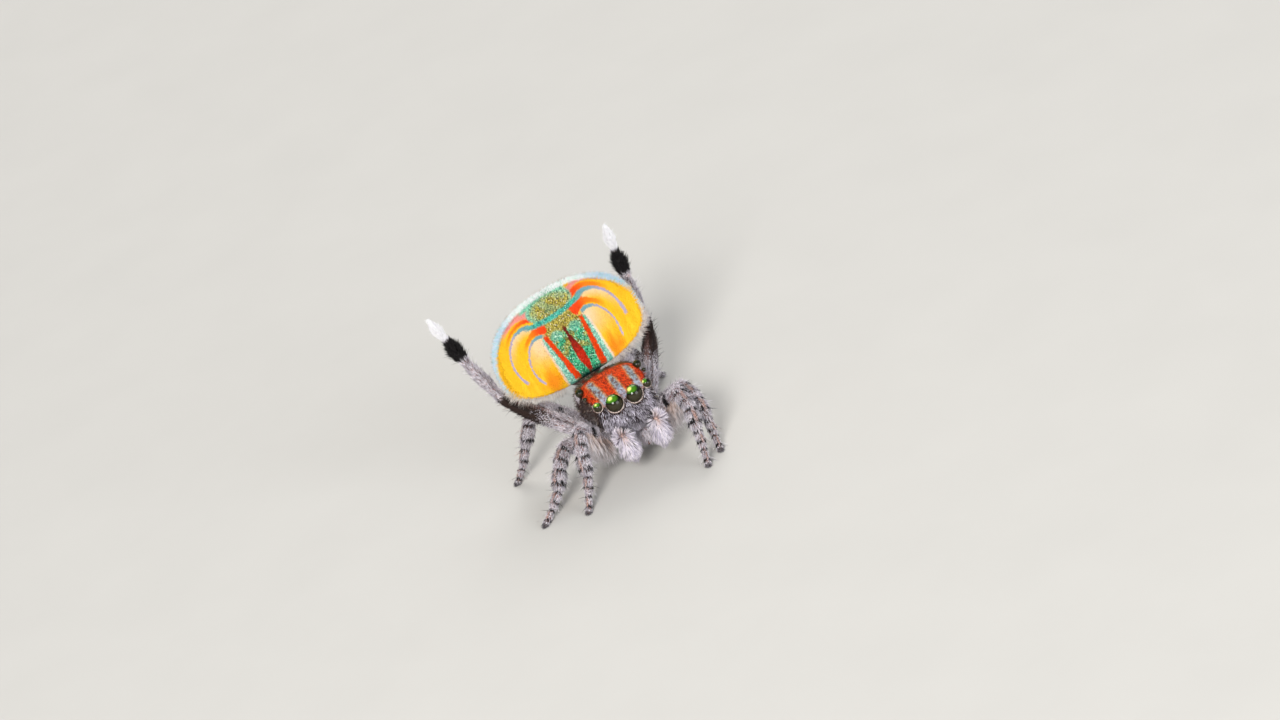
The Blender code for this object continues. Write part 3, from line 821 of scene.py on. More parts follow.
@dataclass(frozen=True)
class FanFinish:
    """Scales of the fan: golden flaps with curved lines, a glittering middle with painted glints, and a pale
    rim.
    """

    half_width: float
    middle: float
    above: float
    below: float
    gold: Colour = srgb(255, 200, 26)
    deep_gold: Colour = srgb(255, 140, 0)
    peach: Colour = srgb(252, 224, 186)
    red: Colour = srgb(255, 78, 12)
    stripe_red: Colour = srgb(224, 50, 20)
    stripe_dark: Colour = srgb(128, 30, 22)
    turquoise: Colour = srgb(66, 184, 162)
    lavender: Colour = srgb(184, 170, 202)
    sky: Colour = srgb(122, 172, 184)
    mint: Colour = srgb(152, 230, 200)
    deep_teal: Colour = srgb(24, 128, 122)
    bright_teal: Colour = srgb(98, 222, 200)
    pale_mint: Colour = srgb(208, 252, 232)
    emerald: Colour = srgb(14, 92, 62)
    bright_green: Colour = srgb(96, 226, 170)
    olive: Colour = srgb(104, 92, 30)
    bright_gold: Colour = srgb(222, 205, 96)
    rim: Colour = srgb(252, 255, 254)
    rim_side: Colour = srgb(186, 214, 242)
    pink: Colour = srgb(246, 154, 150)
    dark: Colour = srgb(12, 34, 42)
    back: Colour = srgb(186, 168, 152)
    blush: Colour = srgb(250, 226, 216)
    # Curved lines of each flap: middle across and up, half width and height, end in degrees.
    outer: tuple[tuple[float, ...], ...] = (
        (-0.783, 0.955, 0.539, 0.669, -39), (0.783, 0.859, 0.571, 0.826, -6))
    inner: tuple[tuple[float, ...], ...] = (
        (-0.580, 0.716, 0.406, 0.577, -41), (0.668, 0.607, 0.419, 0.725, -17))
    # How much closer to its curved line the outer bar of the left flap lies.
    left_shift: float = 0.05
    # The column of stripes leans a little, so its middle moves with height.
    column_lean: float = 0.08
    column_shift: float = -0.125
    squareness: float = 2.4

    def build(self, name: str) -> bpy.types.Material:
        """Return the material for the sheet or its scales.

        Args:
            name: Name of the material.

        Returns:
            The material.
        """
        b = Bench(name)
        x, z, front = b.attribute("pattern")
        tint, along = b.number("tint"), b.number("along")
        grain = b.noise(30.0, 3.0, b.place("pattern"))
        soft = b.noise(5.0, 2.0, b.place("pattern"))
        # Partly each scale's own random tone, partly painted glints where single scales catch the light.
        tone_and_glint = (tint.rise(0.05, 0.80) * 0.80 + grain.rise(0.40, 0.62) * 0.40).least(1.0)
        at = FanPlace(
            b, x, z, tint, grain, soft, tone_and_glint,
            green=b.paint(self.emerald, self.bright_green, tone_and_glint),
            gold=b.paint(self.olive, self.bright_gold, tone_and_glint),
            mint=b.paint(self.turquoise, self.pale_mint, 0.15 + 0.70 * tone_and_glint),
        )
        colour = b.paint(self.gold, self.deep_gold, soft.rise(0.50, 0.75) * 0.16)
        for outer, inner in zip(self.outer, self.inner):
            colour = self.paint_flap(at, colour, outer, inner)
        # Single bright scales get a painted white glint.
        painted_glint = tint.rise(0.90, 0.95) * 0.5
        colour, column = self.paint_column(at, colour, painted_glint)
        colour, crown, cross = self.paint_crown(at, colour)
        colour = self.paint_rim(at, colour)
        face = front.rise(-0.1, 0.1)
        colour = b.paint(self.back, colour, face)
        glitter = column.most(crown).most(cross) * face
        # Painted white glints on single scales of the crown.
        colour = b.paint(colour, self.rim, painted_glint * crown * glitter)
        # Painted shade: scales darker toward their roots and the bare sheet between them darker still; tint
        # adds each scale's random tone.
        colour = b.shade(colour, 0.90 + 0.10 * along + (tint - 0.5) * (0.08 + 0.20 * glitter))
        b.bump(grain, 0.012, 0.5)
        return b.finish(
            colour, Roughness=0.55 - 0.20 * glitter, Metallic=glitter * 0.25, Specular_IOR_Level=0.35,
        )

    def outness(self, at: FanPlace) -> Signal:
        """Return how far out a point lies, 1 at the rim.

        Args:
            at: The point's place, noise and colours.

        Returns:
            The distance as a share of the rim's.
        """
        up = at.z.rise(self.middle - 0.02, self.middle + 0.02)
        height = self.below + (self.above - self.below) * up
        power = self.squareness
        across, high = abs(at.x) / self.half_width, abs(at.z - self.middle) / height
        return (across**power + high**power) ** (1 / power)

    def paint_flap(
        self, at: FanPlace, colour: Signal, outer: tuple[float, ...], inner: tuple[float, ...]
    ) -> Signal:
        """Paint one golden flap with its bars and its two curved lines.

        Args:
            at: The point's place, noise and colours.
            colour: Colour that lies under the new paint.
            outer: The flap's outer curved line.
            inner: Its inner curved line.

        Returns:
            The painted colour.
        """
        b, x, z = at.bench, at.x, at.z
        (cx, cz, a, h, end), (ix, iz, ia, ih, iend) = outer, inner
        sign, near = (1, self.left_shift) if cx > 0 else (-1, 0.0)
        own = (x * sign).rise(0.26, 0.32)
        q, turn = self.polar((x - cx) * (sign / a), (z - cz) / h)
        p, bend = self.polar((x - ix) * (sign / ia), (z - iz) / ih)

        pale = q.rise(0.66, 0.99) * (1 - q.rise(1.0, 1.03)) * turn.rise(-5, 70)
        colour = b.paint(colour, self.peach, pale * own * 0.85)
        core = (1 - p.rise(0.93, 1.0)) * (z + (at.soft - 0.5) * 0.3).rise(0.50, 1.20)
        core = core * (1 - 0.65 * (x * sign).rise(0.60, 0.95))
        colour = b.paint(colour, self.peach, core * own * 0.90)
        low = abs(z - 0.28) * 2.0 + abs(x - sign * (0.70 + 2.6 * near)) * 2.9
        colour = b.paint(colour, self.deep_gold, (1 - low.rise(0.1, 1.1)) * own * 0.9)

        upper, lower = turn.rise(60, 118), bend.rise(68, 116)
        for where, angle, ring, half, stop in (
            (q, turn, 1.145 - near + 0.065 * upper, 0.050 + 0.4 * near + 0.015 * upper, 122),
            (p, bend, 1.17 + 0.11 * lower, 0.075 + 0.130 * lower, 132),
        ):
            bar = where.band(ring, half, 0.05) * angle.rise(34, 66) * (1 - angle.rise(stop - 5, stop))
            hue = b.paint(self.deep_gold, self.red, angle.rise(74, 108))
            colour = b.paint(colour, hue, bar * own)
        patch = q.band(1.39 - 1.6 * near, 0.12 - near, 0.06) * turn.rise(44, 70)
        patch = patch * (1 - turn.rise(118 + 200 * near, 126 + 200 * near))
        colour = b.paint(colour, self.pink, patch * own * 0.95)
        for where, angle, stop in ((q, turn, end), (p, bend, iend)):
            wide = 0.040 + 0.026 * angle.rise(60, 100) + 0.014 * (1 - angle.rise(stop, stop + 50))
            line = where.band(1.0, wide, 0.02) * angle.rise(stop - 2, stop + 2)
            line = line * (1 - angle.rise(106, 114))
            hue = b.paint(self.lavender, self.sky, angle.rise(50, 85))
            colour = b.paint(colour, hue, line * own)
        return colour

    def polar(self, across: Signal, up: Signal) -> tuple[Signal, Signal]:
        """Return a place's distance and its angle in degrees."""
        return (across * across + up * up) ** 0.5, up.maths("ARCTAN2", across) * (180 / math.pi)

    def paint_column(self, at: FanPlace, colour: Signal, painted_glint: Signal) -> tuple[Signal, Signal]:
        """Paint the green column with its three red stripes and its turquoise sides.

        Args:
            at: The point's place, noise and colours.
            colour: Colour that lies under the new paint.
            painted_glint: Where single scales get a painted white glint.

        Returns:
            The painted colour, and where the column is.
        """
        b, x, z = at.bench, at.x, at.z
        wide = abs(x + self.column_lean * z + self.column_shift)
        edge = 0.54 - 0.22 * z.rise(1.16, 1.36)
        column = (1 - wide.rise(edge - 0.01, edge + 0.01)) * (1 - z.rise(1.42, 1.50))
        halo = wide.band(edge + 0.02, 0.025, 0.04) * (1 - z.rise(1.10, 1.25))
        colour = b.paint(colour, self.blush, halo * 0.8)

        patch = z.band(1.30, 0.17, 0.12)
        mottle = (at.soft + at.grain * 0.5).rise(0.70, 0.84) * z.band(0.86, 0.28, 0.25) * 0.9
        middle = b.paint(at.green, at.gold, patch.most(mottle) * (1 - wide.rise(0.40, 0.46)))
        ovals = 1 - (((wide - 0.22) / 0.13) ** 2.0 + ((z - 1.11) / 0.12) ** 2.0).rise(0.5, 1.5)
        # Turquoise to mint by the scales' tone and painted glints.
        middle = b.paint(middle, b.paint(self.turquoise, self.mint, at.tone_and_glint), ovals * 0.75)
        stripe_at = 0.30 + 0.113 * z
        middle = b.paint(middle, at.mint, wide.rise(stripe_at + 0.055, stripe_at + 0.075))
        # Painted white glints on single scales of the column.
        middle = b.paint(middle, self.rim, painted_glint)

        half = 0.048 + 0.024 * (1 - z.rise(0.15, 0.80))
        bar = wide.band(stripe_at + (at.soft - 0.5) * 0.04, half, 0.02) * (1 - z.rise(1.20, 1.28))
        middle = b.paint(middle, self.red, bar * z.rise(0.02, 0.08))
        swell = 0.034 + 0.058 * (1 - abs(z - 0.52).rise(0.05, 0.55))
        stripe = wide.band(0.0, swell, 0.02) * z.rise(0.02, 0.10) * (1 - z.rise(1.16, 1.30))
        stripe_hue = b.paint(self.stripe_red, self.stripe_dark, (z + (at.grain - 0.5)).rise(0.4, 1.0))
        middle = b.paint(middle, stripe_hue, stripe)
        middle = b.paint(middle, self.dark, (1 - z.rise(0.0, 0.16)) * (1 - wide.rise(0.20, 0.34)))
        return b.paint(colour, middle, column), column

    def paint_crown(self, at: FanPlace, colour: Signal) -> tuple[Signal, Signal, Signal]:
        """Paint the green crown, its golden dome and the turquoise arch below them.

        Args:
            at: The point's place, noise and colours.
            colour: Colour that lies under the new paint.

        Returns:
            The painted colour, and where the crown and the arch are.
        """
        b, x, z = at.bench, at.x, at.z
        leafy = b.paint(at.green, at.mint, 0.6)
        collar = self.outness(at).rise(0.84, 0.88) * z.rise(1.46, 1.56)
        colour = b.paint(colour, leafy, collar * (1 - abs(x + 0.10).rise(0.50, 0.62)))
        crown = 1 - (((x + 0.02) / 0.55) ** 2.0 + ((z - 1.77) / 0.31) ** 2.0).rise(0.85, 1.1)
        colour = b.paint(colour, leafy, crown)
        dome = 1 - ((x / 0.49) ** 2.0 + ((z - 1.75) / 0.24) ** 2.0).rise(0.6, 1.3)
        dome = dome * z.rise(1.54, 1.60) * (0.65 + 0.35 * at.soft.rise(0.4, 0.55))
        colour = b.paint(colour, at.gold, dome)
        arch = z - 0.045 * x - 0.20 * x * x
        cross = arch.band(1.515 + (at.grain - 0.5) * 0.08, 0.056, 0.03) * (1 - abs(x).rise(0.62, 0.80))
        # Deep to bright teal by the scales' tone and painted glints.
        teal = b.paint(self.deep_teal, self.bright_teal, 0.2 + 0.8 * at.tone_and_glint)
        teal = b.paint(teal, self.sky, abs(x).rise(0.45, 0.75))
        return b.paint(colour, teal, cross), crown, cross

    def paint_rim(self, at: FanPlace, colour: Signal) -> Signal:
        """Paint the pale rim, wider at the top and absent low on the fan.

        Args:
            at: The point's place, noise and colours.
            colour: Colour that lies under the new paint.

        Returns:
            The painted colour.
        """
        b, x, z = at.bench, at.x, at.z
        inside = 0.960 - 0.042 * z.rise(0.9, 1.7)
        rim = self.outness(at).rise(inside - 0.008, inside + 0.012)
        start = 0.35 + 0.70 * x.rise(0.0, 1.2)
        hue = b.paint(self.rim, self.rim_side, abs(x).rise(0.70, 1.25) * (1 - 0.50 * at.tint))
        hue = b.paint(self.mint, hue, 0.50 + 0.50 * at.tint.rise(0.10, 0.30))
        return b.paint(colour, hue, rim * (z - start).rise(0.0, 0.4))


@dataclass(frozen=True)
class FringeFinish:
    """Pale loose hair."""

    white: Colour = srgb(240, 244, 246)
    blush: Colour = srgb(240, 226, 216)
    by_height: float = 1.0
    contrast: float = 0.15

    def build(self, name: str) -> bpy.types.Material:
        """Return the material.

        Args:
            name: Name of the material.

        Returns:
            The material.
        """
        b = Bench(name)
        _, z, _ = b.attribute("pattern")
        tint, along = b.number("tint"), b.number("along")
        pale = z.rise(0.5, 1.1) * self.by_height + along.rise(0.2, 0.9) * (1 - self.by_height)
        colour = b.paint(self.blush, self.white, (pale + tint * 0.35).least(1.0))
        # Painted shade: hair darker toward its roots; contrast gives each lock a random tone.
        colour = b.shade(colour, (0.80 + 0.20 * along) * (1 - self.contrast * (1 - tint.rise(0.1, 0.6))))
        return b.finish(colour, Roughness=0.5 + 0.1 * tint, Specular_IOR_Level=0.4)


@dataclass(frozen=True)
class CarapaceFinish:
    """Head and thorax: red scales with grey-blue stripes above, dark bare sides, pale hair below."""

    red: Colour = srgb(255, 88, 26)
    deep_red: Colour = srgb(128, 20, 8)
    stripe: Colour = srgb(190, 206, 216)
    slate: Colour = srgb(92, 92, 98)
    straw: Colour = srgb(226, 176, 112)
    lilac: Colour = srgb(214, 212, 236)
    fleck: Colour = srgb(214, 196, 182)
    bare: Colour = srgb(30, 14, 8)
    brown: Colour = srgb(84, 40, 24)
    dusk: Colour = srgb(58, 48, 54)
    pale: Colour = srgb(176, 168, 186)
    white: Colour = srgb(236, 230, 242)
    # Width of the straw hem on each side of a stripe, and the white spot of the thorax: y, z, half sizes.
    hem_width: float = 0.034
    spot: tuple[float, ...] = (1.10, 1.58, 0.17, 0.15)

    def build(self, name: str) -> bpy.types.Material:
        """Return the material for the shell or its scales.

        Args:
            name: Name of the material.

        Returns:
            The material.
        """
        b = Bench(name)
        x, y, z = b.attribute("pattern")
        tint, along = b.number("tint"), b.number("along")
        grain = b.noise(17.0, 3.0, b.place("pattern"))
        soft = b.noise(9.0, 2.0, b.place("pattern"))
        wide = abs(x)
        red = b.paint(self.deep_red, self.red, 0.25 + 0.75 * grain.rise(0.40, 0.48))
        red = b.paint(red, self.deep_red, (1 - tint.rise(0.06, 0.16)) * 0.7)
        colour = b.paint(self.bare, self.brown, soft.rise(0.40, 0.75) * 0.35 + grain.rise(0.45, 0.6) * 0.25)
        down = b.paint(self.bare, self.brown, soft.rise(0.40, 0.70) * 0.5)
        down = b.paint(down, self.fleck, tint.rise(0.78, 0.99))
        colour = b.paint(colour, down, along.rise(0.0, 0.3))
        top = z.rise(1.66, 1.73) * (1 - wide.rise(0.70, 0.74)) * (1 - y.rise(0.98, 1.06))
        colour = b.paint(colour, red, top)

        fade = 1 - y.rise(0.35, 0.75)
        wander = (soft - 0.5) * 0.06
        lanes = []
        for extra in (self.hem_width, 0.0):
            mid = (wide + wander).band(0.0, 0.040 + 0.034 * fade + extra, 0.04) * (1 - y.rise(0.62, 0.82))
            side = (wide + wander).band(0.40 + 0.05 * y, 0.058 + 0.012 * fade + extra, 0.05)
            lanes.append(mid.most(side * (1 - y.rise(0.82, 0.97))) * top)
        hems, stripes = lanes
        colour = b.paint(colour, self.straw, hems * grain.rise(0.34, 0.46) * 0.85)
        speckle = (tint.rise(0.1, 0.6) * 0.3 + grain.rise(0.45, 0.54) * 0.8).least(1.0)
        stripe = b.paint(self.slate, self.stripe, speckle)
        stripe = b.paint(stripe, self.lilac, (1 - y.rise(0.05, 0.35)) * (0.3 + 0.5 * tint))
        colour = b.paint(colour, stripe, stripes * (0.6 + 0.4 * grain.rise(0.35, 0.5)))

        face = (1 - y.rise(0.04, 0.16)) * (1 - z.rise(1.60, 1.68))
        clump = soft.rise(0.45, 0.60)
        pale = b.paint(self.pale, self.white, tint)
        pale = b.paint(self.dusk, pale, (clump * 0.8 + tint.rise(0.3, 0.6) * 0.5).least(1.0))
        hairy = along.rise(0.0, 0.3)
        colour = b.paint(colour, pale, face * hairy)
        hem = 1 - (z + (soft - 0.5) * 0.2).rise(0.97, 1.12)
        colour = b.paint(colour, b.paint(pale, self.white, 0.5), hem * hairy)
        back, up, half_y, half_z = self.spot
        oval = ((y - back) / half_y) ** 2.0 + ((z - up) / half_z) ** 2.0 + (soft - 0.5) * 1.6
        colour = b.paint(colour, self.white, (1 - oval.rise(0.4, 1.1)) * (0.6 + 0.3 * hairy))
        rear = y.rise(1.55, 1.70)
        colour = b.paint(colour, self.white, rear * 0.7 * hairy)
        # Painted shade: tufts darker toward their roots and the bare shell between them darker still; tint
        # adds random tone.
        colour = b.shade(colour, 0.85 + 0.15 * along + (tint - 0.5) * 0.2)
        b.bump(grain, 0.010, 0.5)
        return b.finish(colour, Roughness=0.34 + 0.18 * top, Specular_IOR_Level=0.35)


@dataclass(frozen=True)
class LimbPlace:
    """Where a point of a limb lies, and its noise."""

    bench: Bench
    # Joints passed, the part after the joint, the way round and its size.
    s: Signal
    share: Signal
    across: Signal
    side: Signal
    kind: Signal
    tint: Signal
    along: Signal
    hairy: Signal
    blotch: Signal
    fine: Signal


@dataclass(frozen=True)
class LimbFinish:
    """Legs, palps and jaws: pinkish-brown cuticle under grey-white hair with black marks."""

    cuticle: Colour = srgb(110, 74, 66)
    streak: Colour = srgb(176, 132, 124)
    bare: Colour = srgb(214, 172, 156)
    grey: Colour = srgb(172, 164, 178)
    white: Colour = srgb(255, 248, 255)
    lavender: Colour = srgb(214, 206, 226)
    black: Colour = srgb(22, 18, 20)
    brown: Colour = srgb(62, 44, 38)
    pink: Colour = srgb(250, 224, 216)
    snow: Colour = srgb(253, 252, 255)

    def build(self, name: str) -> bpy.types.Material:
        """Return the material for skin or hair.

        Args:
            name: Name of the material.

        Returns:
            The material.
        """
        b = Bench(name)
        s, across, kind = b.attribute("pattern")
        tint, along = b.number("tint"), b.number("along")
        hairy = along.rise(0.0, 0.05)
        blotch, fine = b.noise(9.0, 2.0), b.noise(34.0, 2.0)
        at = LimbPlace(b, s, s.maths("FRACT"), across, abs(across), kind, tint, along, hairy, blotch, fine)
        hair = b.paint(self.grey, self.white, (0.12 + tint * 0.7 + blotch.rise(0.4, 0.65) * 0.5).least(1.0))
        skin = b.paint(self.cuticle, self.streak, blotch.rise(0.40, 0.62))
        raised, palp = kind.band(3.0, 0.3, 0.1), kind.band(5.0, 0.3, 0.1)
        colour = self.paint_standing(at, b.paint(skin, hair, hairy), raised, palp)
        colour = self.paint_raised(at, colour, raised)
        colour = self.paint_palp(at, colour, palp)
        # Painted shade: hair darker toward its roots, except on bare skin and the white tips; tint adds
        # random tone.
        snow = s.rise(4.0, 4.06) * raised
        colour = b.shade(colour, 0.80 + 0.20 * along.most(1 - hairy).most(snow) + (tint - 0.5) * 0.15)
        b.bump(fine, 0.008, 0.4)
        return b.finish(colour, Roughness=0.45 + 0.12 * hairy, Specular_IOR_Level=0.35)

    def paint_standing(self, at: LimbPlace, colour: Signal, raised: Signal, palp: Signal) -> Signal:
        """Paint the marks of the standing legs: black rings and lines, bare strips and dark soles.

        Args:
            at: The point's place, noise and colours.
            colour: Colour that lies under the new paint.
            raised: Where the raised legs are.
            palp: Where the palps are.

        Returns:
            The painted colour.
        """
        b, s, share, side, blotch, fine = at.bench, at.s, at.share, at.side, at.blotch, at.fine
        plain = (1 - raised) * (1 - palp) * (1 - at.kind.rise(6.5, 6.6))
        ends = share.band(0.12, 0.06, 0.04).most(share.band(0.66, 0.07, 0.05))
        ends = ends * (side + (blotch - 0.5) * 0.8).rise(0.15, 0.35) * s.rise(0.55, 0.65)
        spots = ends * blotch.rise(0.32, 0.40)
        middle = share.band(0.42, 0.24, 0.12) * s.rise(0.90, 1.10)
        lines = side.band(0.36, 0.07, 0.08) * middle * fine.rise(0.38, 0.50)
        strip = side.band(0.0, 0.24, 0.10) * middle * fine.rise(0.34, 0.48)
        colour = b.paint(colour, self.bare, strip * plain * 0.85)
        streak = side.band(0.10, 0.10, 0.15) * fine.rise(0.45, 0.6)
        colour = b.paint(colour, self.streak, streak * plain * 0.4)
        colour = b.paint(colour, self.black, (spots + lines * 0.8).least(1.0) * plain)
        colour = b.paint(colour, self.black, (fine * blotch).rise(0.30, 0.34) * plain * 0.7)
        root = (1 - s.rise(-0.9, -0.4)) * (1 - palp)
        colour = b.paint(colour, self.brown, root * (1 - 0.5 * at.hairy))
        sole = s.rise(4.80, 4.90) * (1 - raised) * (1 - palp)
        return b.paint(colour, self.black, sole * 0.75)

    def paint_raised(self, at: LimbPlace, colour: Signal, raised: Signal) -> Signal:
        """Paint the marks of the raised legs: dusky femur, lined tibia, black brush and white tip.

        Args:
            at: The point's place, noise and colours.
            colour: Colour that lies under the new paint.
            raised: Where the raised legs are.

        Returns:
            The painted colour.
        """
        b, s, side, blotch, fine = at.bench, at.s, at.side, at.blotch, at.fine
        dusk = s.band(1.10, 0.50 + (fine - 0.5) * 0.8 + (blotch - 0.5) * 0.4, 0.12)
        dim = b.paint(self.brown, self.streak, side.band(0.15, 0.14, 0.15) * fine.rise(0.40, 0.60) * 0.75)
        dim = b.paint(dim, self.black, side.band(0.75, 0.15, 0.15) * 0.6)
        colour = b.paint(colour, dim, dusk * raised)
        edge_line = s.band(0.60, 0.50, 0.2) * side.band(0.62, 0.10, 0.10) * fine.rise(0.36, 0.48)
        colour = b.paint(colour, self.brown, edge_line * raised * 0.8)
        tibia = s.band(2.55, 0.70, 0.1)
        lines = tibia * side.band(0.50, 0.09, 0.15) * fine.rise(0.40, 0.55)
        lines = lines.most(tibia * fine.rise(0.58, 0.66) * 0.8)
        colour = b.paint(colour, self.brown, lines * raised * 0.85)
        colour = b.paint(colour, self.black, s.band(3.60, 0.40, 0.06) * raised)
        return b.paint(colour, self.snow, s.rise(4.0, 4.06) * raised)

    def paint_palp(self, at: LimbPlace, colour: Signal, palp: Signal) -> Signal:
        """Paint the palps: lavender brush, pink heart, dark cleft and bar on the inner side.

        Args:
            at: The point's place, noise and colours.
            colour: Colour that lies under the new paint.
            palp: Where the palps are.

        Returns:
            The painted colour.
        """
        b, s, tint, along = at.bench, at.s, at.tint, at.along
        brush = b.paint(self.lavender, self.white, tint.rise(0.1, 0.6))
        greyed = (at.blotch.rise(0.54, 0.64) * 0.35).most(s.rise(1.80, 2.0) * 0.5)
        brush = b.paint(brush, self.grey, greyed)
        brush = b.paint(brush, self.brown, tint.rise(0.95, 0.97) * (1 - s.rise(1.6, 1.8)))
        colour = b.paint(colour, brush, palp * at.hairy)
        heart = s.band(1.00, 0.10, 0.10) * at.side.band(0.0, 0.40, 0.3)
        colour = b.paint(colour, self.pink, heart * palp * (1 - 0.7 * along.rise(0.2, 0.6)))
        inner = at.across * ((at.kind - 5.0) * 10.0)
        cleft = s.band(1.14, 0.05, 0.04) * inner.rise(0.25, 0.45) * (1 - along.rise(0.20, 0.40))
        colour = b.paint(colour, self.black, cleft * palp * 0.85)
        bar = s.band(0.89, 0.085, 0.03) * inner.rise(0.10, 0.30)
        return b.paint(colour, self.black, bar * palp * 0.9)


@dataclass(frozen=True)
class BodyFinish:
    """Back of the abdomen, sternum and stalk: brown cuticle under short fawn hair."""

    skin: Colour = srgb(88, 70, 62)
    fawn: Colour = srgb(168, 148, 132)
    pale: Colour = srgb(214, 204, 196)
    dark: Colour = srgb(52, 42, 38)

    def build(self, name: str) -> bpy.types.Material:
        """Return the material for skin or hair.

        Args:
            name: Name of the material.

        Returns:
            The material.
        """
        b = Bench(name)
        x, _, _ = b.attribute("pattern")
        tint, along = b.number("tint"), b.number("along")
        hairy = along.rise(0.0, 0.05)
        blotch = b.noise(5.0, 3.0)
        hair = b.paint(self.fawn, self.pale, (tint * 0.7 + blotch.rise(0.45, 0.6) * 0.5).least(1.0))
        hair = b.paint(hair, self.dark, abs(x).band(0.24, 0.05, 0.10) * 0.75 * blotch.rise(0.35, 0.55))
        colour = b.paint(self.skin, hair, hairy)
        # Painted shade: hair darker toward its roots; bare skin is left as it is.
        colour = b.shade(colour, 0.75 + 0.25 * along.most(1 - hairy))
        b.bump(b.noise(30.0), 0.010, 0.5)
        return b.finish(colour, Roughness=0.5 + 0.1 * tint, Specular_IOR_Level=0.35)


@dataclass(frozen=True)
class EyeFinish:
    """Glossy dark lens with painted reflections: a green patch and a lime highlight above, lighter olive
    below.
    """

    dark: Colour = srgb(10, 16, 5)
    olive: Colour = srgb(44, 40, 24)
    green: Colour = srgb(62, 118, 14)
    highlight_lime: Colour = srgb(240, 250, 130)
    # Strength of the painted green patch and lime highlight.
    glow: float = 1.0
    # Place of the painted reflection on a ball of radius one.
    reflection_at: Point = (-0.33, -0.31, 0.89)

    def build(self, name: str) -> bpy.types.Material:
        """Return the material.

        Args:
            name: Name of the material.

        Returns:
            The material.
        """
        b = Bench(name)
        x, y, z = b.attribute("pattern")
        # Painted reflection: green patch and lime highlight round the place where a lamp mirrors in the lens.
        gx, gy, gz = (part - at for part, at in zip((x, y, z), self.reflection_at))
        glow = (gx * gx + gy * gy + gz * gz) ** 0.5
        shine = z.rise(0.48, 0.66) * (1 - glow.rise(0.55, 1.0)) * self.glow
        # Painted reflection: lighter olive low on the lens, dark above.
        colour = b.paint(self.dark, self.olive, 1 - z.rise(0.40, 0.46))
        colour = b.paint(colour, self.green, shine)
        colour = b.paint(colour, self.highlight_lime, (1 - glow.rise(0.10, 0.38)) * self.glow)
        grain = b.noise(14.0)
        return b.finish(colour, Roughness=0.05 + 0.03 * grain, Specular_IOR_Level=0.35)


@dataclass(frozen=True)
class RimFinish:
    """Cream scales in a thin ring round an eye."""

    cream: Colour = srgb(212, 196, 188)
    brown: Colour = srgb(96, 64, 54)

    def build(self, name: str) -> bpy.types.Material:
        """Return the material.

        Args:
            name: Name of the material.

        Returns:
            The material.
        """
        b = Bench(name)
        grain = b.noise(45.0, 3.0)
        colour = b.paint(self.brown, self.cream, grain.rise(0.42, 0.56))
        b.bump(grain, 0.006, 0.6)
        return b.finish(colour, Roughness=0.45 + 0.2 * grain, Specular_IOR_Level=0.4)


@dataclass(frozen=True)
class FloorFinish:
    """Pale matt studio floor."""

    colour: Colour = srgb(204, 202, 198)

    def build(self, name: str) -> bpy.types.Material:
        """Return the material.

        Args:
            name: Name of the material.

        Returns:
            The material.
        """
        b = Bench(name)
        grain = b.noise(0.4, 3.0)
        return b.finish(b.shade(self.colour, 0.97 + 0.06 * grain), Roughness=0.85, Specular_IOR_Level=0.2)


# Body parts


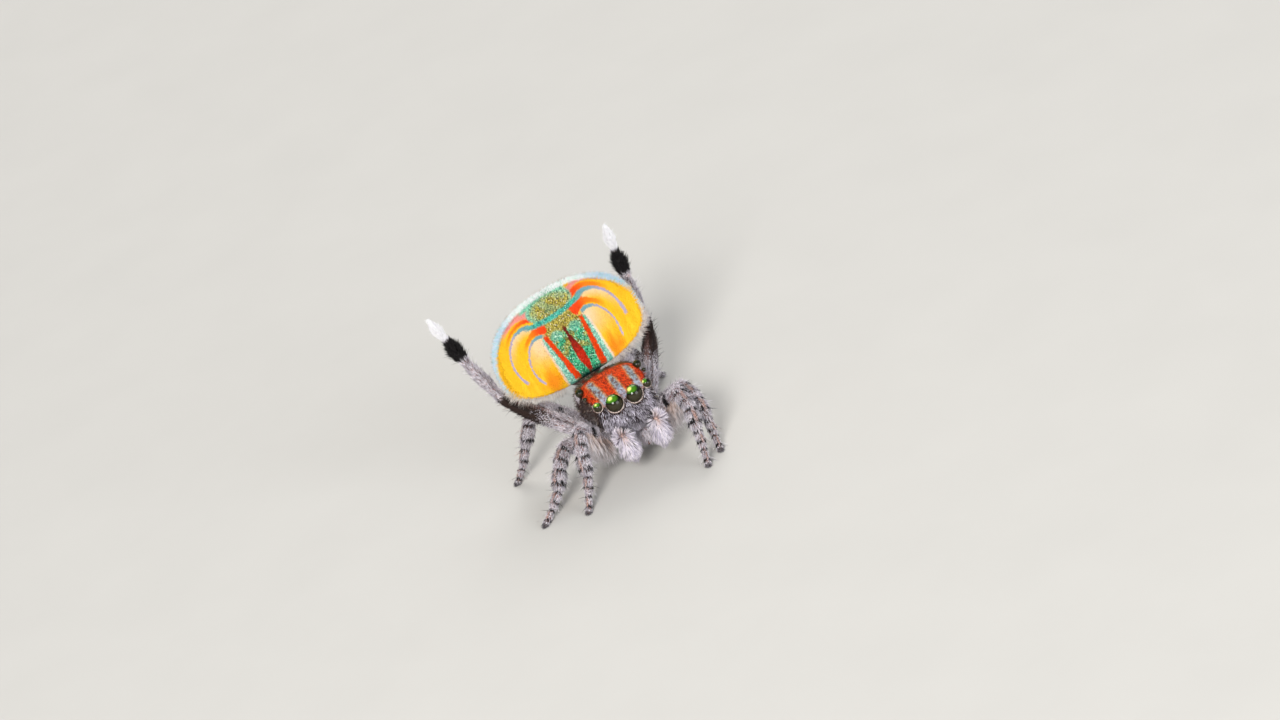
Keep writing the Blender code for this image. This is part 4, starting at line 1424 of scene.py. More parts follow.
@dataclass
class Carapace:
    """Shield of head and thorax, with its sockets."""

    # Distance back from the front eyes, half width, top, bottom.
    stations: tuple[tuple[float, ...], ...] = (
        (-0.07, 0.38, 1.77, 1.08), (-0.03, 0.52, 1.82, 1.00), (0.05, 0.62, 1.85, 0.95),
        (0.18, 0.68, 1.88, 0.90), (0.42, 0.72, 1.92, 0.83), (0.72, 0.75, 1.95, 0.76),
        (1.00, 0.78, 1.94, 0.74), (1.28, 0.79, 1.85, 0.74), (1.52, 0.72, 1.69, 0.77),
        (1.74, 0.55, 1.46, 0.83), (1.90, 0.35, 1.26, 0.90), (1.97, 0.20, 1.16, 0.96),
    )
    squareness: float = 3.0
    inset: float = 0.018
    sides: int = 168
    rings: int = 72
    # Rings that close the face and the rear, and how far their middles stand out.
    face_rings: int = 24
    face_bulge: float = 0.03
    rear_shares: tuple[float, ...] = (0.7, 0.4, 0.1)
    rear_bulge: float = 0.01
    # Sockets in radii of the eye: full depth, edge, depth, and how far behind and around they reach.
    socket_flat: float = 0.98
    socket_edge: float = 1.10
    socket_depth: float = 0.35
    socket_behind: float = 0.4
    socket_around: float = 2.2

    def skin(self) -> Skin:
        """Return the shield's skin, with each eye's socket pressed in.

        Returns:
            The skin, its pattern the place of each point.
        """
        table = np.array(self.stations)
        steps = np.hypot(*np.diff(table[:, [0, 1]], axis=0).T) + 0.02
        reach = np.concatenate([[0], np.cumsum(steps)])
        rows = through(np.linspace(0, reach[-1], self.rings), reach, table)
        outline = superellipse(2 * np.pi * np.arange(self.sides) / self.sides, self.squareness)
        face_shares = np.linspace(0.04, 1.0, self.face_rings, endpoint=False)
        grid = [self.ring(rows[0], outline, k, -self.face_bulge * (1 - k**2)) for k in face_shares]
        grid += [self.ring(row, outline, 1.0, 0.0) for row in rows]
        grid += [self.ring(rows[-1], outline, k, self.rear_bulge) for k in self.rear_shares]
        grid = self.press_sockets(np.array(grid))
        skin = Skin()
        skin.add_grid(grid, (0.0, 0.0, 1.0, 1.0), pattern=grid)
        return skin

    def ring(self, row: Array, outline: tuple[Array, Array], share: float, push: float) -> Array:
        """Return one ring of the shield.

        Args:
            row: Distance back, half width, top and bottom.
            outline: Points of the unit outline.
            share: Share of the full ring.
            push: How far back it is moved.

        Returns:
            The ring's points.
        """
        (y, half, top, bottom), (c, s) = row, outline
        half, top, bottom = half - self.inset, top - self.inset, bottom + self.inset
        middle, high = (top + bottom) / 2, (top - bottom) / 2
        back = np.full_like(c, y + push + self.inset)
        return np.stack([half * share * c, back, middle + high * share * s], axis=-1)

    def press_sockets(self, grid: Array) -> Array:
        """Push the shield in under each eye, behind its lens.

        Args:
            grid: The shield's points, rows by sides by 3.

        Returns:
            The points with the sockets.
        """
        points = grid.reshape(-1, 3).copy()
        for eye, side in ((eye, side) for eye in EYES for side in SIDES):
            axis, edge = eye.axis(side), eye.radius * self.socket_edge
            off = points - mirrored(eye.centre, side)
            ahead = off @ axis
            across = np.linalg.norm(off - ahead[:, None] * axis, axis=1)
            around = np.linalg.norm(off, axis=1) < eye.radius * self.socket_around
            near = (across < edge) & (ahead > -eye.radius * self.socket_behind) & around
            share = 1 - ease(across[near], eye.radius * self.socket_flat, edge)
            deep = np.maximum(ahead[near] + eye.radius * self.socket_depth, 0.0) * share
            points[near] -= axis * deep[:, None]
        return points.reshape(grid.shape)


@dataclass(frozen=True)
class Eye:
    """One eye of a pair, given for the left side."""

    name: str
    centre: Point
    radius: float
    # Degrees that it looks to the side and up.
    outward: float
    upward: float
    # How far forward the rim stands, in radii.
    rim: float
    rows: int = 32
    sides: int = 48
    rim_rows: int = 72
    rim_sides: int = 10
    rim_tilt: float = 0.38
    # Thickness of the rim, in millimetres and in radii, and how much thinner it is on top.
    rim_thickness: tuple[float, float] = (0.006, 0.045)
    rim_taper: float = 0.75

    def axis(self, side: str) -> Array:
        """Return the way the eye looks."""
        out, up = math.radians(self.outward), math.radians(self.upward)
        return mirrored((math.cos(up) * math.sin(out), -math.cos(up) * math.cos(out), math.sin(up)), side)

    def lens(self, side: str) -> Skin:
        """Return the eye's ball.

        Args:
            side: "left" or "right".

        Returns:
            The skin, its pattern the place on a unit ball.
        """
        round_eye = ball(self.rows, self.sides, 0.03)
        skin = Skin()
        place = mirrored(self.centre, side)
        skin.add_grid(round_eye * self.radius + place, (0, 0, 1, 1), pattern=round_eye)
        return skin

    def ring(self, side: str) -> Array:
        """Return the points of the rim of scales, as a closed tube.

        Args:
            side: "left" or "right".

        Returns:
            The points, round the eye by round the tube by 3.
        """
        axis = unit(self.axis(side) + np.array((0.0, 0.0, self.rim_tilt)))
        one = unit(np.cross(axis, (0.0, 0.0, 1.0)))
        two = np.cross(one, axis)
        turn = 2 * np.pi * np.arange(self.rim_rows) / self.rim_rows
        tube = 2 * np.pi * np.arange(self.rim_sides) / self.rim_sides
        out = np.cos(turn)[:, None] * one + np.sin(turn)[:, None] * two
        least, more = self.rim_thickness
        thick = (least + more * self.radius) * (1 - self.rim_taper * ease(out[:, 2:], 0.15, 0.85))
        radius = self.radius * math.sqrt(1 - self.rim**2) + thick * 0.35
        return (
            mirrored(self.centre, side) + axis * self.radius * self.rim
            + out[:, None] * (radius + thick * np.cos(tube))[..., None]
            + axis * (thick * 0.9 * np.sin(tube))[..., None]
        )


EYES = (
    Eye("eye_main", (0.232, 0.050, 1.62), 0.200, 4, 2, 0.20),
    Eye("eye_side", (0.585, 0.100, 1.68), 0.108, 24, 6, 0.18),
    Eye("eye_small", (0.715, 0.460, 1.80), 0.045, 75, 20, 0.2),
    Eye("eye_rear", (0.700, 0.870, 1.78), 0.095, 80, 25, 0.2),
)
RIMMED_EYES = EYES[:2]
RAISED = 3


@dataclass
class Limb:
    """A jointed limb swept along its stations, with the length along it kept as a pattern."""

    centres: Array
    radii: Array
    marks: Array
    kind: float
    across: Array
    sides: int = 22
    rings: int = 84
    # Degrees of the rings that round off the ends, and the lowest that the skin goes.
    dome: tuple[float, ...] = (80, 58, 32)
    lowest: float = 0.004

    def add_to(self, skin: Skin, tile: tuple[float, float, float, float], inset: float) -> None:
        """Add the limb to a skin.

        Args:
            skin: The skin that takes it.
            tile: Its place on the coat's map.
            inset: How far it lies inside the solid's core.
        """
        reach = np.concatenate([[0], np.cumsum(np.linalg.norm(np.diff(self.centres, axis=0), axis=1))])
        at = np.linspace(0, reach[-1], self.rings)
        centres = through(at, reach, self.centres)
        radii = through(at, reach, self.radii)[:, 0] - inset
        marks = np.interp(at, reach, self.marks)
        tangents = unit(np.gradient(centres, axis=0))
        one = unit(self.across - tangents * (tangents @ self.across)[:, None])
        two = np.cross(one, tangents)
        dome = np.radians(self.dome)
        ends = np.concatenate([np.cos(dome), np.ones(self.rings), np.cos(dome[::-1])])
        pad = np.clip(np.arange(-len(dome), self.rings + len(dome)), 0, self.rings - 1)
        slide = np.concatenate([-np.sin(dome), np.zeros(self.rings), np.sin(dome[::-1])]) * radii[pad]
        turn = 2 * np.pi * np.arange(self.sides) / self.sides
        c, s = np.cos(turn)[None, :, None], np.sin(turn)[None, :, None]
        out = c * one[pad][:, None] + s * two[pad][:, None]
        body = centres[pad] + tangents[pad] * slide[:, None]
        grid = body[:, None] + out * (radii[pad] * ends)[:, None, None]
        grid[..., 2] = np.maximum(grid[..., 2], self.lowest)
        shape = grid.shape[:2]
        pattern = np.stack(
            np.broadcast_arrays(marks[pad][:, None], np.broadcast_to(np.cos(turn), shape), self.kind), -1
        )
        flow = np.broadcast_to(tangents[pad][:, None], grid.shape)
        skin.add_grid(grid, tile, pattern=pattern, flow=flow, out=out)


@dataclass
class Legs:
    """The eight legs, each three nodes in the solids."""

    hips: dict[int, tuple[float, ...]] = field(default_factory=lambda: {
        1: (0.56, 0.52, 0.60), 2: (0.64, 0.84, 0.58), 3: (0.66, 1.14, 0.56), 4: (0.58, 1.44, 0.58)})
    coxa_root: float = 0.29
    coxa_height: float = 0.54
    # Lengths of femur, patella, tibia, metatarsus, tarsus.
    segments: dict[int, tuple[float, ...]] = field(default_factory=lambda: {
        1: (1.20, 0.45, 0.50, 0.42, 0.42), 2: (1.13, 0.45, 0.50, 0.42, 0.42),
        3: (1.85, 0.50, 0.84, 0.68, 0.58), 4: (1.15, 0.42, 0.56, 0.46, 0.40)})
    radii: dict[int, tuple[float, ...]] = field(default_factory=lambda: {
        1: (0.115, 0.180, 0.150, 0.145, 0.095, 0.075), 2: (0.115, 0.175, 0.150, 0.145, 0.095, 0.075),
        3: (0.115, 0.180, 0.140, 0.135, 0.115, 0.085), 4: (0.115, 0.170, 0.145, 0.135, 0.095, 0.075)})
    # Degrees round from straight ahead and degrees up, segment by segment.
    pose: dict[tuple[int, str], tuple[tuple[float, float | None], ...]] = field(default_factory=lambda: {
        (1, "right"): ((48, None), (31, -40), (35, -76), (42, -55), (43, -47)),
        (2, "right"): ((61, None), (51, -31), (51, -50), (59, -34), (60, -28)),
        (3, "right"): ((122, 37), (132, 51), (140, 59), (143, 64), (138, 63)),
        (4, "right"): ((124, None), (94, -18), (78, -55), (76, -58), (80, -48)),
        (1, "left"): ((33, None), (3, -28), (-14, -51), (-19, -64), (-20, -53)),
        (2, "left"): ((43, None), (14, -23), (-1, -40), (-6, -80), (-10, -38)),
        (3, "left"): ((148, 28), (158, 88), (168, 78), (176, 72), (172, 75)),
        (4, "left"): ((166, None), (150, -18), (136, -55), (134, -58), (134, -48))})
    foot_height: float = 0.02
    # Thickness of the foot at its end, and of the joints, as shares of the segment.
    foot_share: float = 0.85
    raised_foot_share: float = 0.55
    joint_thickness: tuple[float, ...] = (0.80, 0.84, 0.80, 0.90)
    # Where the rings of each segment stand along it, and how thick it is there.
    ring_plan: tuple[tuple[tuple[float, float], ...], ...] = (
        ((0.12, 0.82), (0.40, 1.00), (0.70, 0.95), (0.86, 0.85)),
        ((0.36, 1.00), (0.70, 0.95)),
        ((0.26, 1.00), (0.60, 0.98), (0.84, 0.84)),
        ((0.20, 1.00), (0.80, 0.90)),
        ((0.18, 0.95), (0.60, 0.85), (0.90, 1.00)),
    )
    raised_foot: tuple[tuple[float, float], ...] = ((0.12, 0.72), (0.45, 1.00), (0.75, 0.80))
    inset: float = 0.012

    def joints(self, leg: int, side: str) -> list[Array]:
        """Return the hip, knee and further joints of a leg.

        Args:
            leg: Number of the pair.
            side: "left" or "right".

        Returns:
            The hip and the end of each segment.
        """
        lengths, angles = self.segments[leg], list(self.pose[leg, side])
        hip = mirrored(self.hips[leg], side)
        if angles[0][1] is None:
            rest = sum(n * math.sin(math.radians(up)) for n, (_, up) in zip(lengths[1:], angles[1:]))
            rise = self.foot_height - hip[2] - rest
            angles[0] = (angles[0][0], math.degrees(math.asin(rise / lengths[0])))
        joints = [hip]
        for length, (swing, up) in zip(lengths, angles):
            swing, up = math.radians(swing), math.radians(up)
            step = (math.cos(up) * math.sin(swing), -math.cos(up) * math.cos(swing), math.sin(up))
            joints.append(joints[-1] + mirrored(step, side) * length)
        return joints

    def limb(self, leg: int, side: str) -> Limb:
        """Return one leg as a limb.

        Args:
            leg: Number of the pair.
            side: "left" or "right".

        Returns:
            The limb.
        """
        joints = self.joints(leg, side)
        coxa, *radii = self.radii[leg]
        root = mirrored((self.coxa_root, self.hips[leg][1], self.coxa_height), side)
        middle = (root + joints[0]) / 2
        rows = [(root, coxa * 0.92, -1.0), (middle, coxa, -0.5), (joints[0], coxa * 1.08, 0.0)]
        for segment, (radius, plan) in enumerate(zip(radii, self.ring_plan)):
            start, end = joints[segment], joints[segment + 1]
            if leg == RAISED and segment == 4:
                plan = self.raised_foot
            rows += [(start + (end - start) * at, radius * share, segment + at) for at, share in plan]
            if segment < len(self.joint_thickness):
                thin = min(radius, radii[segment + 1]) * self.joint_thickness[segment]
                rows.append((end, thin, segment + 0.999))
            else:
                share = self.raised_foot_share if leg == RAISED else self.foot_share
                rows.append((end, radius * share, 4.999))
        centres, thick, marks = zip(*rows)
        centres = np.array(centres)
        across = unit(np.cross(centres[-1] - centres[0], (0.0, 0.0, 1.0)))
        return Limb(centres, np.array(thick), np.array(marks), float(leg), across)

    def skin(self, leg: int) -> Skin:
        """Return the skin of a pair of legs.

        Args:
            leg: Number of the pair.

        Returns:
            The skin.
        """
        skin = Skin()
        for i, side in enumerate(SIDES):
            self.limb(leg, side).add_to(skin, (i / 2, 0.0, 0.5, 1.0), self.inset)
        return skin

    def nodes(self, leg: int) -> list[str]:
        """Return the solids' names of a pair of legs."""
        return [f"leg{leg}_{side}_{part}" for side in SIDES for part in ("femur", "tibia", "foot")]


@dataclass(frozen=True)
class Claws:
    """The two hooked claws at the end of each leg."""

    start: float = 0.035
    length: float = 0.075
    hook: float = 0.045
    apart: float = 0.020
    spread: float = 0.012
    root: float = 0.012
    taper: float = 0.0095
    rings: int = 8
    sides: int = 8
    lowest: float = 0.003
    # Place on the leg's pattern, which gives the colour: raised legs, then the others.
    marks: tuple[float, float] = (4.90, 4.995)

    def skin(self, legs: Legs) -> Skin:
        """Return the skin of every claw.

        Args:
            legs: The legs that they belong to.

        Returns:
            The skin.
        """
        skin = Skin()
        steps, turn = np.linspace(0, 1, self.rings), 2 * np.pi * np.arange(self.sides) / self.sides
        for leg, side in ((leg, side) for leg in legs.hips for side in SIDES):
            raised = leg == RAISED
            *_, ankle, tip = legs.joints(leg, side)
            ahead = unit(tip - ankle)
            outward = mirrored((1.0, 0.0, 0.0), side)
            bend = outward * 0.4 + (0.0, -0.6, 0.0) if raised else np.array((0.0, 0.0, -1.0))
            across = unit(np.cross(ahead, bend))
            over = unit(np.cross(ahead, across))
            ring = np.cos(turn)[:, None] * across + np.sin(turn)[:, None] * over
            thick = self.root - self.taper * steps
            for way in (-1, 1):
                spine = (
                    tip + ahead * (self.start + self.length * steps)[:, None]
                    + bend * (self.hook * steps**2)[:, None]
                    + across * (way * (self.apart + self.spread * steps))[:, None]
                )
                grid = spine[:, None] + ring[None] * thick[:, None, None]
                grid[..., 2] = np.maximum(grid[..., 2], self.lowest)
                mark = self.marks[0 if raised else 1]
                pattern = np.broadcast_to(np.array((mark, 0.0, float(leg))), grid.shape)
                skin.add_grid(grid, (0.0, 0.0, 1.0, 1.0), pattern=pattern)
        return skin


@dataclass
class Mouth:
    """The two palps and the two jaws."""

    arm: tuple[Point, ...] = (
        (0.43, 0.24, 0.72), (0.45, 0.02, 0.80), (0.44, -0.20, 0.96), (0.41, -0.33, 0.98))
    arm_radii: tuple[float, ...] = (0.085, 0.10, 0.12, 0.11)
    brush: tuple[Point, ...] = (
        (0.395, -0.39, 0.89), (0.38, -0.43, 0.79), (0.36, -0.45, 0.65), (0.34, -0.46, 0.52))
    brush_radii: tuple[float, ...] = (0.13, 0.165, 0.14, 0.06)
    # Length along the palp as its pattern has it, and the marks that tell left from right.
    palp_marks: tuple[float, ...] = (0.0, 0.4, 0.8, 1.0, 1.2, 1.5, 1.8, 2.0)
    palp_kinds: tuple[float, float] = (4.9, 5.1)
    palp_inset: float = 0.02
    jaw_across: float = 0.165
    jaw_back: float = 0.20
    jaw_rake: float = 0.25
    jaw_inset: float = 0.008
    jaw_kind: float = 7.0
    jaw_sides: int = 28
    jaw_rings: int = 30
    # Height, half width, half depth.
    jaw: tuple[tuple[float, ...], ...] = (
        (0.80, 0.10, 0.09), (0.74, 0.12, 0.13), (0.62, 0.12, 0.13), (0.47, 0.10, 0.11), (0.33, 0.06, 0.07))

    def palps(self) -> Skin:
        """Return the skin of both palps, each one smooth limb.

        Returns:
            The skin.
        """
        skin = Skin()
        for i, side in enumerate(SIDES):
            centres = np.array([mirrored(p, side) for p in (*self.arm, *self.brush)])
            radii = np.array((*self.arm_radii, *self.brush_radii))
            marks, across = np.array(self.palp_marks), np.array((1.0, 0.0, 0.0))
            limb = Limb(centres, radii, marks, self.palp_kinds[i], across, sides=24, rings=60)
            limb.add_to(skin, (i / 2, 0.0, 0.5, 1.0), self.palp_inset)
        return skin

    def jaws(self) -> Skin:
        """Return the skin of both jaws.

        Returns:
            The skin.
        """
        skin = Skin()
        turn = 2 * np.pi * np.arange(self.jaw_sides) / self.jaw_sides
        table = np.array(self.jaw)[::-1]
        z = np.linspace(table[0, 0], table[-1, 0], self.jaw_rings)[:, None]
        rows = through(z[:, 0], table[:, 0], table[:, 1:]) - self.jaw_inset
        half, deep = (rows * rounded(self.jaw_rings, (0.3, 0.7), (0.8, 0.4))[:, None]).T
        back = self.jaw_back - self.jaw_rake * (self.jaw[0][0] - z)
        for i, side in enumerate(SIDES):
            middle = mirrored((self.jaw_across, 0, 0), side)[0]
            x, y = middle + half[:, None] * np.cos(turn), back + deep[:, None] * np.sin(turn)
            grid = np.stack(np.broadcast_arrays(x, y, z), -1)
            pattern = np.stack(np.broadcast_arrays(0.5, np.cos(turn), self.jaw_kind + 0 * z), -1)
            flow = np.broadcast_to(np.array((0.0, -0.25, -1.0)), grid.shape)
            skin.add_grid(grid, (i / 2, 0.0, 0.5, 1.0), pattern=pattern, flow=flow)
        return skin


@dataclass
class Fan:
    """Raised abdomen with its plate, both flaps, the body behind them and the stalk."""

    base: Point = (-0.215, 1.79, 1.60)
    lean: float = math.radians(14)
    roll: float = math.radians(4.5)
    half_width: float = 1.72
    middle: float = 0.92
    above: float = 1.19
    below: float = 0.93
    top_squareness: float = 2.35
    foot_squareness: float = 2.60
    curl: float = 0.16
    root_thickness: float = 0.34
    edge_thickness: float = 0.12
    inset: float = 0.015
    spokes: int = 200
    rings: int = 44
    # Height up the fan, half width, half depth.
    body: tuple[tuple[float, ...], ...] = (
        (-0.20, 0.16, 0.14), (-0.12, 0.32, 0.27), (0.12, 0.46, 0.38), (0.50, 0.54, 0.44),
        (0.90, 0.54, 0.45), (1.25, 0.45, 0.38), (1.52, 0.31, 0.28), (1.66, 0.17, 0.16))
    body_back: float = 0.34
    body_rings: int = 60
    body_sides: int = 64
    gap: float = 0.08
    spinneret_length: float = 0.24
    spinneret_radius: float = 0.075
    spinneret_inset: float = 0.008
    # Degrees round the end of the body and lean back of each cone.
    spinneret_cones: tuple[tuple[float, float], ...] = ((90, 0.15), (210, 0.55), (330, 0.55))
    stalk_radii: tuple[float, ...] = (0.085, 0.10, 0.105)
    kind: float = 8.0

    def ways(self) -> tuple[Array, Array, Array]:
        """Return the fan's sideways, upward and forward directions."""
        turn = np.array(Matrix.Rotation(-self.roll, 3, "Y") @ Matrix.Rotation(-self.lean, 3, "X"))
        return turn @ (1, 0, 0), turn @ (0, 0, 1), turn @ (0, -1, 0)

    def point(self, across: Array, up: Array, forward: Array) -> Array:
        """Return points given in the fan's own directions.

        Args:
            across: Distance to its left.
            up: Distance up along it.
            forward: Distance in front of it.

        Returns:
            The points.
        """
        side_way, up_way, front_way = self.ways()
        across, up, forward = (np.asarray(v, float)[..., None] for v in (across, up, forward))
        return np.array(self.base) + side_way * across + up_way * up + front_way * forward

    def way(self, across: Array, up: Array) -> Array:
        """Return directions given in the fan's own directions."""
        side_way, up_way, _ = self.ways()
        return side_way * across[..., None] + up_way * up[..., None]

    def outness(self, x: Array, z: Array) -> Array:
        """Return how far out places of the fan are, 1 at its rim.

        Args:
            x: Distance to its left.
            z: Distance up along it.

        Returns:
            The distance as a share of the rim's.
        """
        upper = z >= self.middle
        high = np.where(upper, self.above, self.below)
        power = np.where(upper, self.top_squareness, self.foot_squareness)
        across, up = np.abs(x / self.half_width), np.abs((z - self.middle) / high)
        return (across**power + up**power) ** (1 / power)

    def sheet(self) -> Skin:
        """Return plate and flaps as one sheet, thick in the middle and curled at the sides.

        Returns:
            The skin, its pattern the place across, the place up and 1 in front or -1 behind.
        """
        angle = 2 * np.pi * (np.arange(self.spokes) + 0.5) / self.spokes
        upper = np.sin(angle) >= 0
        power = np.where(upper, self.top_squareness, self.foot_squareness)
        c, s = superellipse(angle, power)
        high = np.where(upper, self.above, self.below) - self.inset
        shares = np.linspace(0.02, 1.0, self.rings) ** 0.85
        grids = []
        for face in (1, -1):
            order = shares if face == 1 else shares[::-1]
            for share in order:
                x, z = (self.half_width - self.inset) * c * share, high * s * share
                bend = self.curl * (x / self.half_width) ** 2
                thick = self.root_thickness + (self.edge_thickness - self.root_thickness) * share**1.5
                thick = thick * (1 - 0.6 * ease(np.array(share), 0.955, 1.0)) - 2 * self.inset * 0.6
                folds = 0.005 * np.sin(9 * np.pi * np.abs(x)) * ease(np.abs(x), 0.55, 0.8) * (1 - share**6)
                grids.append((x, self.middle + z, bend + folds + face * thick / 2, np.full_like(x, face)))
        x, z, forward, face = (np.array(v) for v in zip(*grids))
        skin = Skin()
        flow, pattern = self.way(x * 0.8, z + 0.25), np.stack([x, z, face], -1)
        skin.add_grid(self.point(x, z, forward), (0, 0, 1, 1), pattern=pattern, flow=flow)
        return skin

    def abdomen(self) -> Skin:
        """Return the body behind the plate.

        Returns:
            The skin.
        """
        table = np.array(self.body)
        at = np.linspace(table[0, 0], table[-1, 0], self.body_rings)
        rows = through(at, table[:, 0], table[:, 1:]) - self.inset
        rows = rows * rounded(self.body_rings, (0.3, 0.7), (0.75, 0.35))[:, None]
        turn = 2 * np.pi * np.arange(self.body_sides) / self.body_sides
        x, deep = rows[:, :1] * np.cos(turn), rows[:, 1:] * np.sin(turn)
        up = np.broadcast_to(at[:, None], x.shape)
        skin = Skin()
        flow = self.way(0 * x, np.ones_like(x))
        pattern = np.stack([x, up, deep], -1)
        skin.add_grid(self.point(x, up, deep - self.body_back), (0, 0, 1, 1), pattern=pattern, flow=flow)
        return skin

    def stalk(self, start: Array) -> Skin:
        """Return the stalk between thorax and abdomen.

        Args:
            start: Where it leaves the thorax.

        Returns:
            The skin.
        """
        end = self.point(0.0, self.body[0][0] + 0.02, -self.body_back)
        middle = (start + end) / 2 + (0.0, 0.03, -0.04)
        skin = Skin()
        centres, across = np.array([start, middle, end]), np.array((1.0, 0.0, 0.0))
        limb = Limb(centres, np.array(self.stalk_radii), np.zeros(3), self.kind, across, 20, 16)
        limb.add_to(skin, (0, 0, 1, 1), 0.0)
        return skin

    def spinnerets(self) -> Skin:
        """Return the cluster of three cones at the raised end.

        Returns:
            The skin.
        """
        skin = Skin()
        top = self.body[-1][0]
        end = top + self.gap + self.spinneret_length
        radii, marks = self.spinneret_radius * np.array((1.0, 0.95, 0.5)), np.array((0.2, 0.5, 0.7))
        for i, (turn, lean) in enumerate(self.spinneret_cones):
            across = math.cos(math.radians(turn))
            root = self.point(0.05 * across, top + 0.01, -self.body_back)
            tip = self.point(0.12 * across, end, -self.body_back - 0.12 * lean)
            centres = np.array([root, root * 0.4 + tip * 0.6, tip])
            limb = Limb(centres, radii, marks, self.kind, self.ways()[0], 14, 14)
            limb.add_to(skin, (i / 3, 0, 1 / 3, 1), self.spinneret_inset)
        return skin


def sternum_skin(
    half: Point = (0.205, 0.55, 0.12), centre: Point = (0.0, 0.98, 0.54), rows: int = 24, sides: int = 32
) -> Skin:
    """Return the plate between the leg bases.

    Args:
        half: Its half sizes.
        centre: Its middle.
        rows: Rings from front to back.
        sides: Points of a ring.

    Returns:
        The skin.
    """
    plate = ball(rows, sides, 0.06)
    skin = Skin()
    flow = np.broadcast_to(np.array((0.0, 1.0, 0.0)), plate.shape)
    skin.add_grid(plate * half + centre, (0, 0, 1, 1), pattern=plate, flow=flow)
    return skin


@dataclass
class Studio:
    """Camera, lights and floor."""

    turn: float = math.radians(-11)
    rise: float = math.radians(27)
    roll: float = math.radians(22)
    pixels_a_mm: float = 47.0
    # Where the photo has the middle of the front eyes, and its size, in pixels.
    eyes_at: tuple[float, float] = (624.6, 399.1)
    picture: tuple[float, float] = (1280.0, 720.0)
    distance: float = 120.0
    aim: Point = (0.0, 0.0, 1.62)
    sensor: float = 36.0
    clip: tuple[float, float] = (0.01, 5.0)
    # Name, place, size, watts and colour of each lamp, and the point that they shine on, in metres.
    lamps: tuple[tuple[str, Point, float, float, Colour], ...] = (
        ("key", (-85, -150, 115), 70, 0.40, (1.0, 0.98, 0.94)),
        ("fill", (90, -150, 45), 110, 0.17, (0.94, 0.97, 1.0)),
        ("rim", (60, 130, 120), 90, 0.16, (1.0, 0.98, 0.95)),
    )
    lit_point: Point = (0, 0, 0.0015)
    sky: Colour = (0.92, 0.94, 0.96)
    sky_strength: float = 0.40
    floor_half: float = 0.35

    def ways(self) -> tuple[Array, Array, Array]:
        """Return the picture's rightward and upward directions and the way to the camera.

        Returns:
            The three directions.
        """
        ca, sa, ce, se = math.cos(self.turn), math.sin(self.turn), math.cos(self.rise), math.sin(self.rise)
        flat, up, back = np.array([(ca, sa, 0), (-sa * se, ca * se, ce), (sa * ce, -ca * ce, se)])
        cr, sr = math.cos(self.roll), math.sin(self.roll)
        return cr * flat - sr * up, sr * flat + cr * up, back

    def set_camera(self, shop: Workshop) -> None:
        """Place the camera so that the front eyes land where the photo has them.

        Args:
            shop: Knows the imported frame.
        """
        right, up, back = self.ways()
        off_x = (self.picture[0] / 2 - self.eyes_at[0]) / self.pixels_a_mm
        off_y = (self.eyes_at[1] - self.picture[1] / 2) / self.pixels_a_mm
        aim = np.array(self.aim) + right * off_x + up * off_y
        place = shop.to_row(aim + back * self.distance)
        camera = add_object("camera", bpy.data.cameras.new("camera"))
        turned = Matrix(np.stack([right, up, back], 1)).to_4x4()
        camera.matrix_world = Matrix.Translation(Vector(place)) @ turned
        camera.data.sensor_width = self.sensor
        camera.data.lens = self.sensor * self.distance / (self.picture[0] / self.pixels_a_mm)
        camera.data.clip_start, camera.data.clip_end = self.clip
        bpy.context.scene.camera = camera

    def light(self, name: str, at: Point, size: float, watts: float, colour: Colour) -> None:
        """Add a soft square light aimed at the spider.

        Args:
            name: Name of the light.
            at: Its place in millimetres.
            size: Its side in millimetres.
            watts: Its power.
            colour: Its colour.
        """
        lamp = bpy.data.lights.new(name, "AREA")
        lamp.size, lamp.energy, lamp.color = size * MM, watts, colour
        thing = add_object(name, lamp)
        place = Vector(at) * MM
        thing.location = place
        thing.rotation_euler = (place - Vector(self.lit_point)).to_track_quat("Z", "Y").to_euler()

    def lay_floor(self) -> None:
        """Lay the floor, which belongs to the studio alone."""
        mesh = bpy.data.meshes.new("floor")
        half = self.floor_half
        corners = [(-half, -half, 0), (half, -half, 0), (half, half, 0), (-half, half, 0)]
        mesh.from_pydata(corners, [], [(0, 1, 2, 3)])
        mesh.materials.append(FloorFinish().build("studio_floor"))
        floor = add_object("floor", mesh)

    def build(self, shop: Workshop) -> None:
        """Set up camera, lights, world and floor.

        Args:
            shop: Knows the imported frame.
        """
        self.set_camera(shop)
        bpy.context.scene.view_settings.view_transform = "Standard"
        for lamp in self.lamps:
            self.light(*lamp)
        world = bpy.data.worlds.new("studio")
        world.use_nodes = True
        background = world.node_tree.nodes["Background"]
        background.inputs[0].default_value = (*self.sky, 1.0)
        background.inputs[1].default_value = self.sky_strength
        bpy.context.scene.world = world
        self.lay_floor()


@dataclass(frozen=True)
class LegPair:
    """A pair of legs and its coat."""

    name: str
    leg: int
    slot: str = "grey_hair"
    density: float = 2200
    # Joint up to which the long hairs stand.
    long_hair_to: float = 4.6


LEG_PAIRS = (
    LegPair("first", 1), LegPair("second", 2), LegPair("raised", RAISED, "raised_foot_hair", 1900, 3.6),
    LegPair("rear", 4),
)
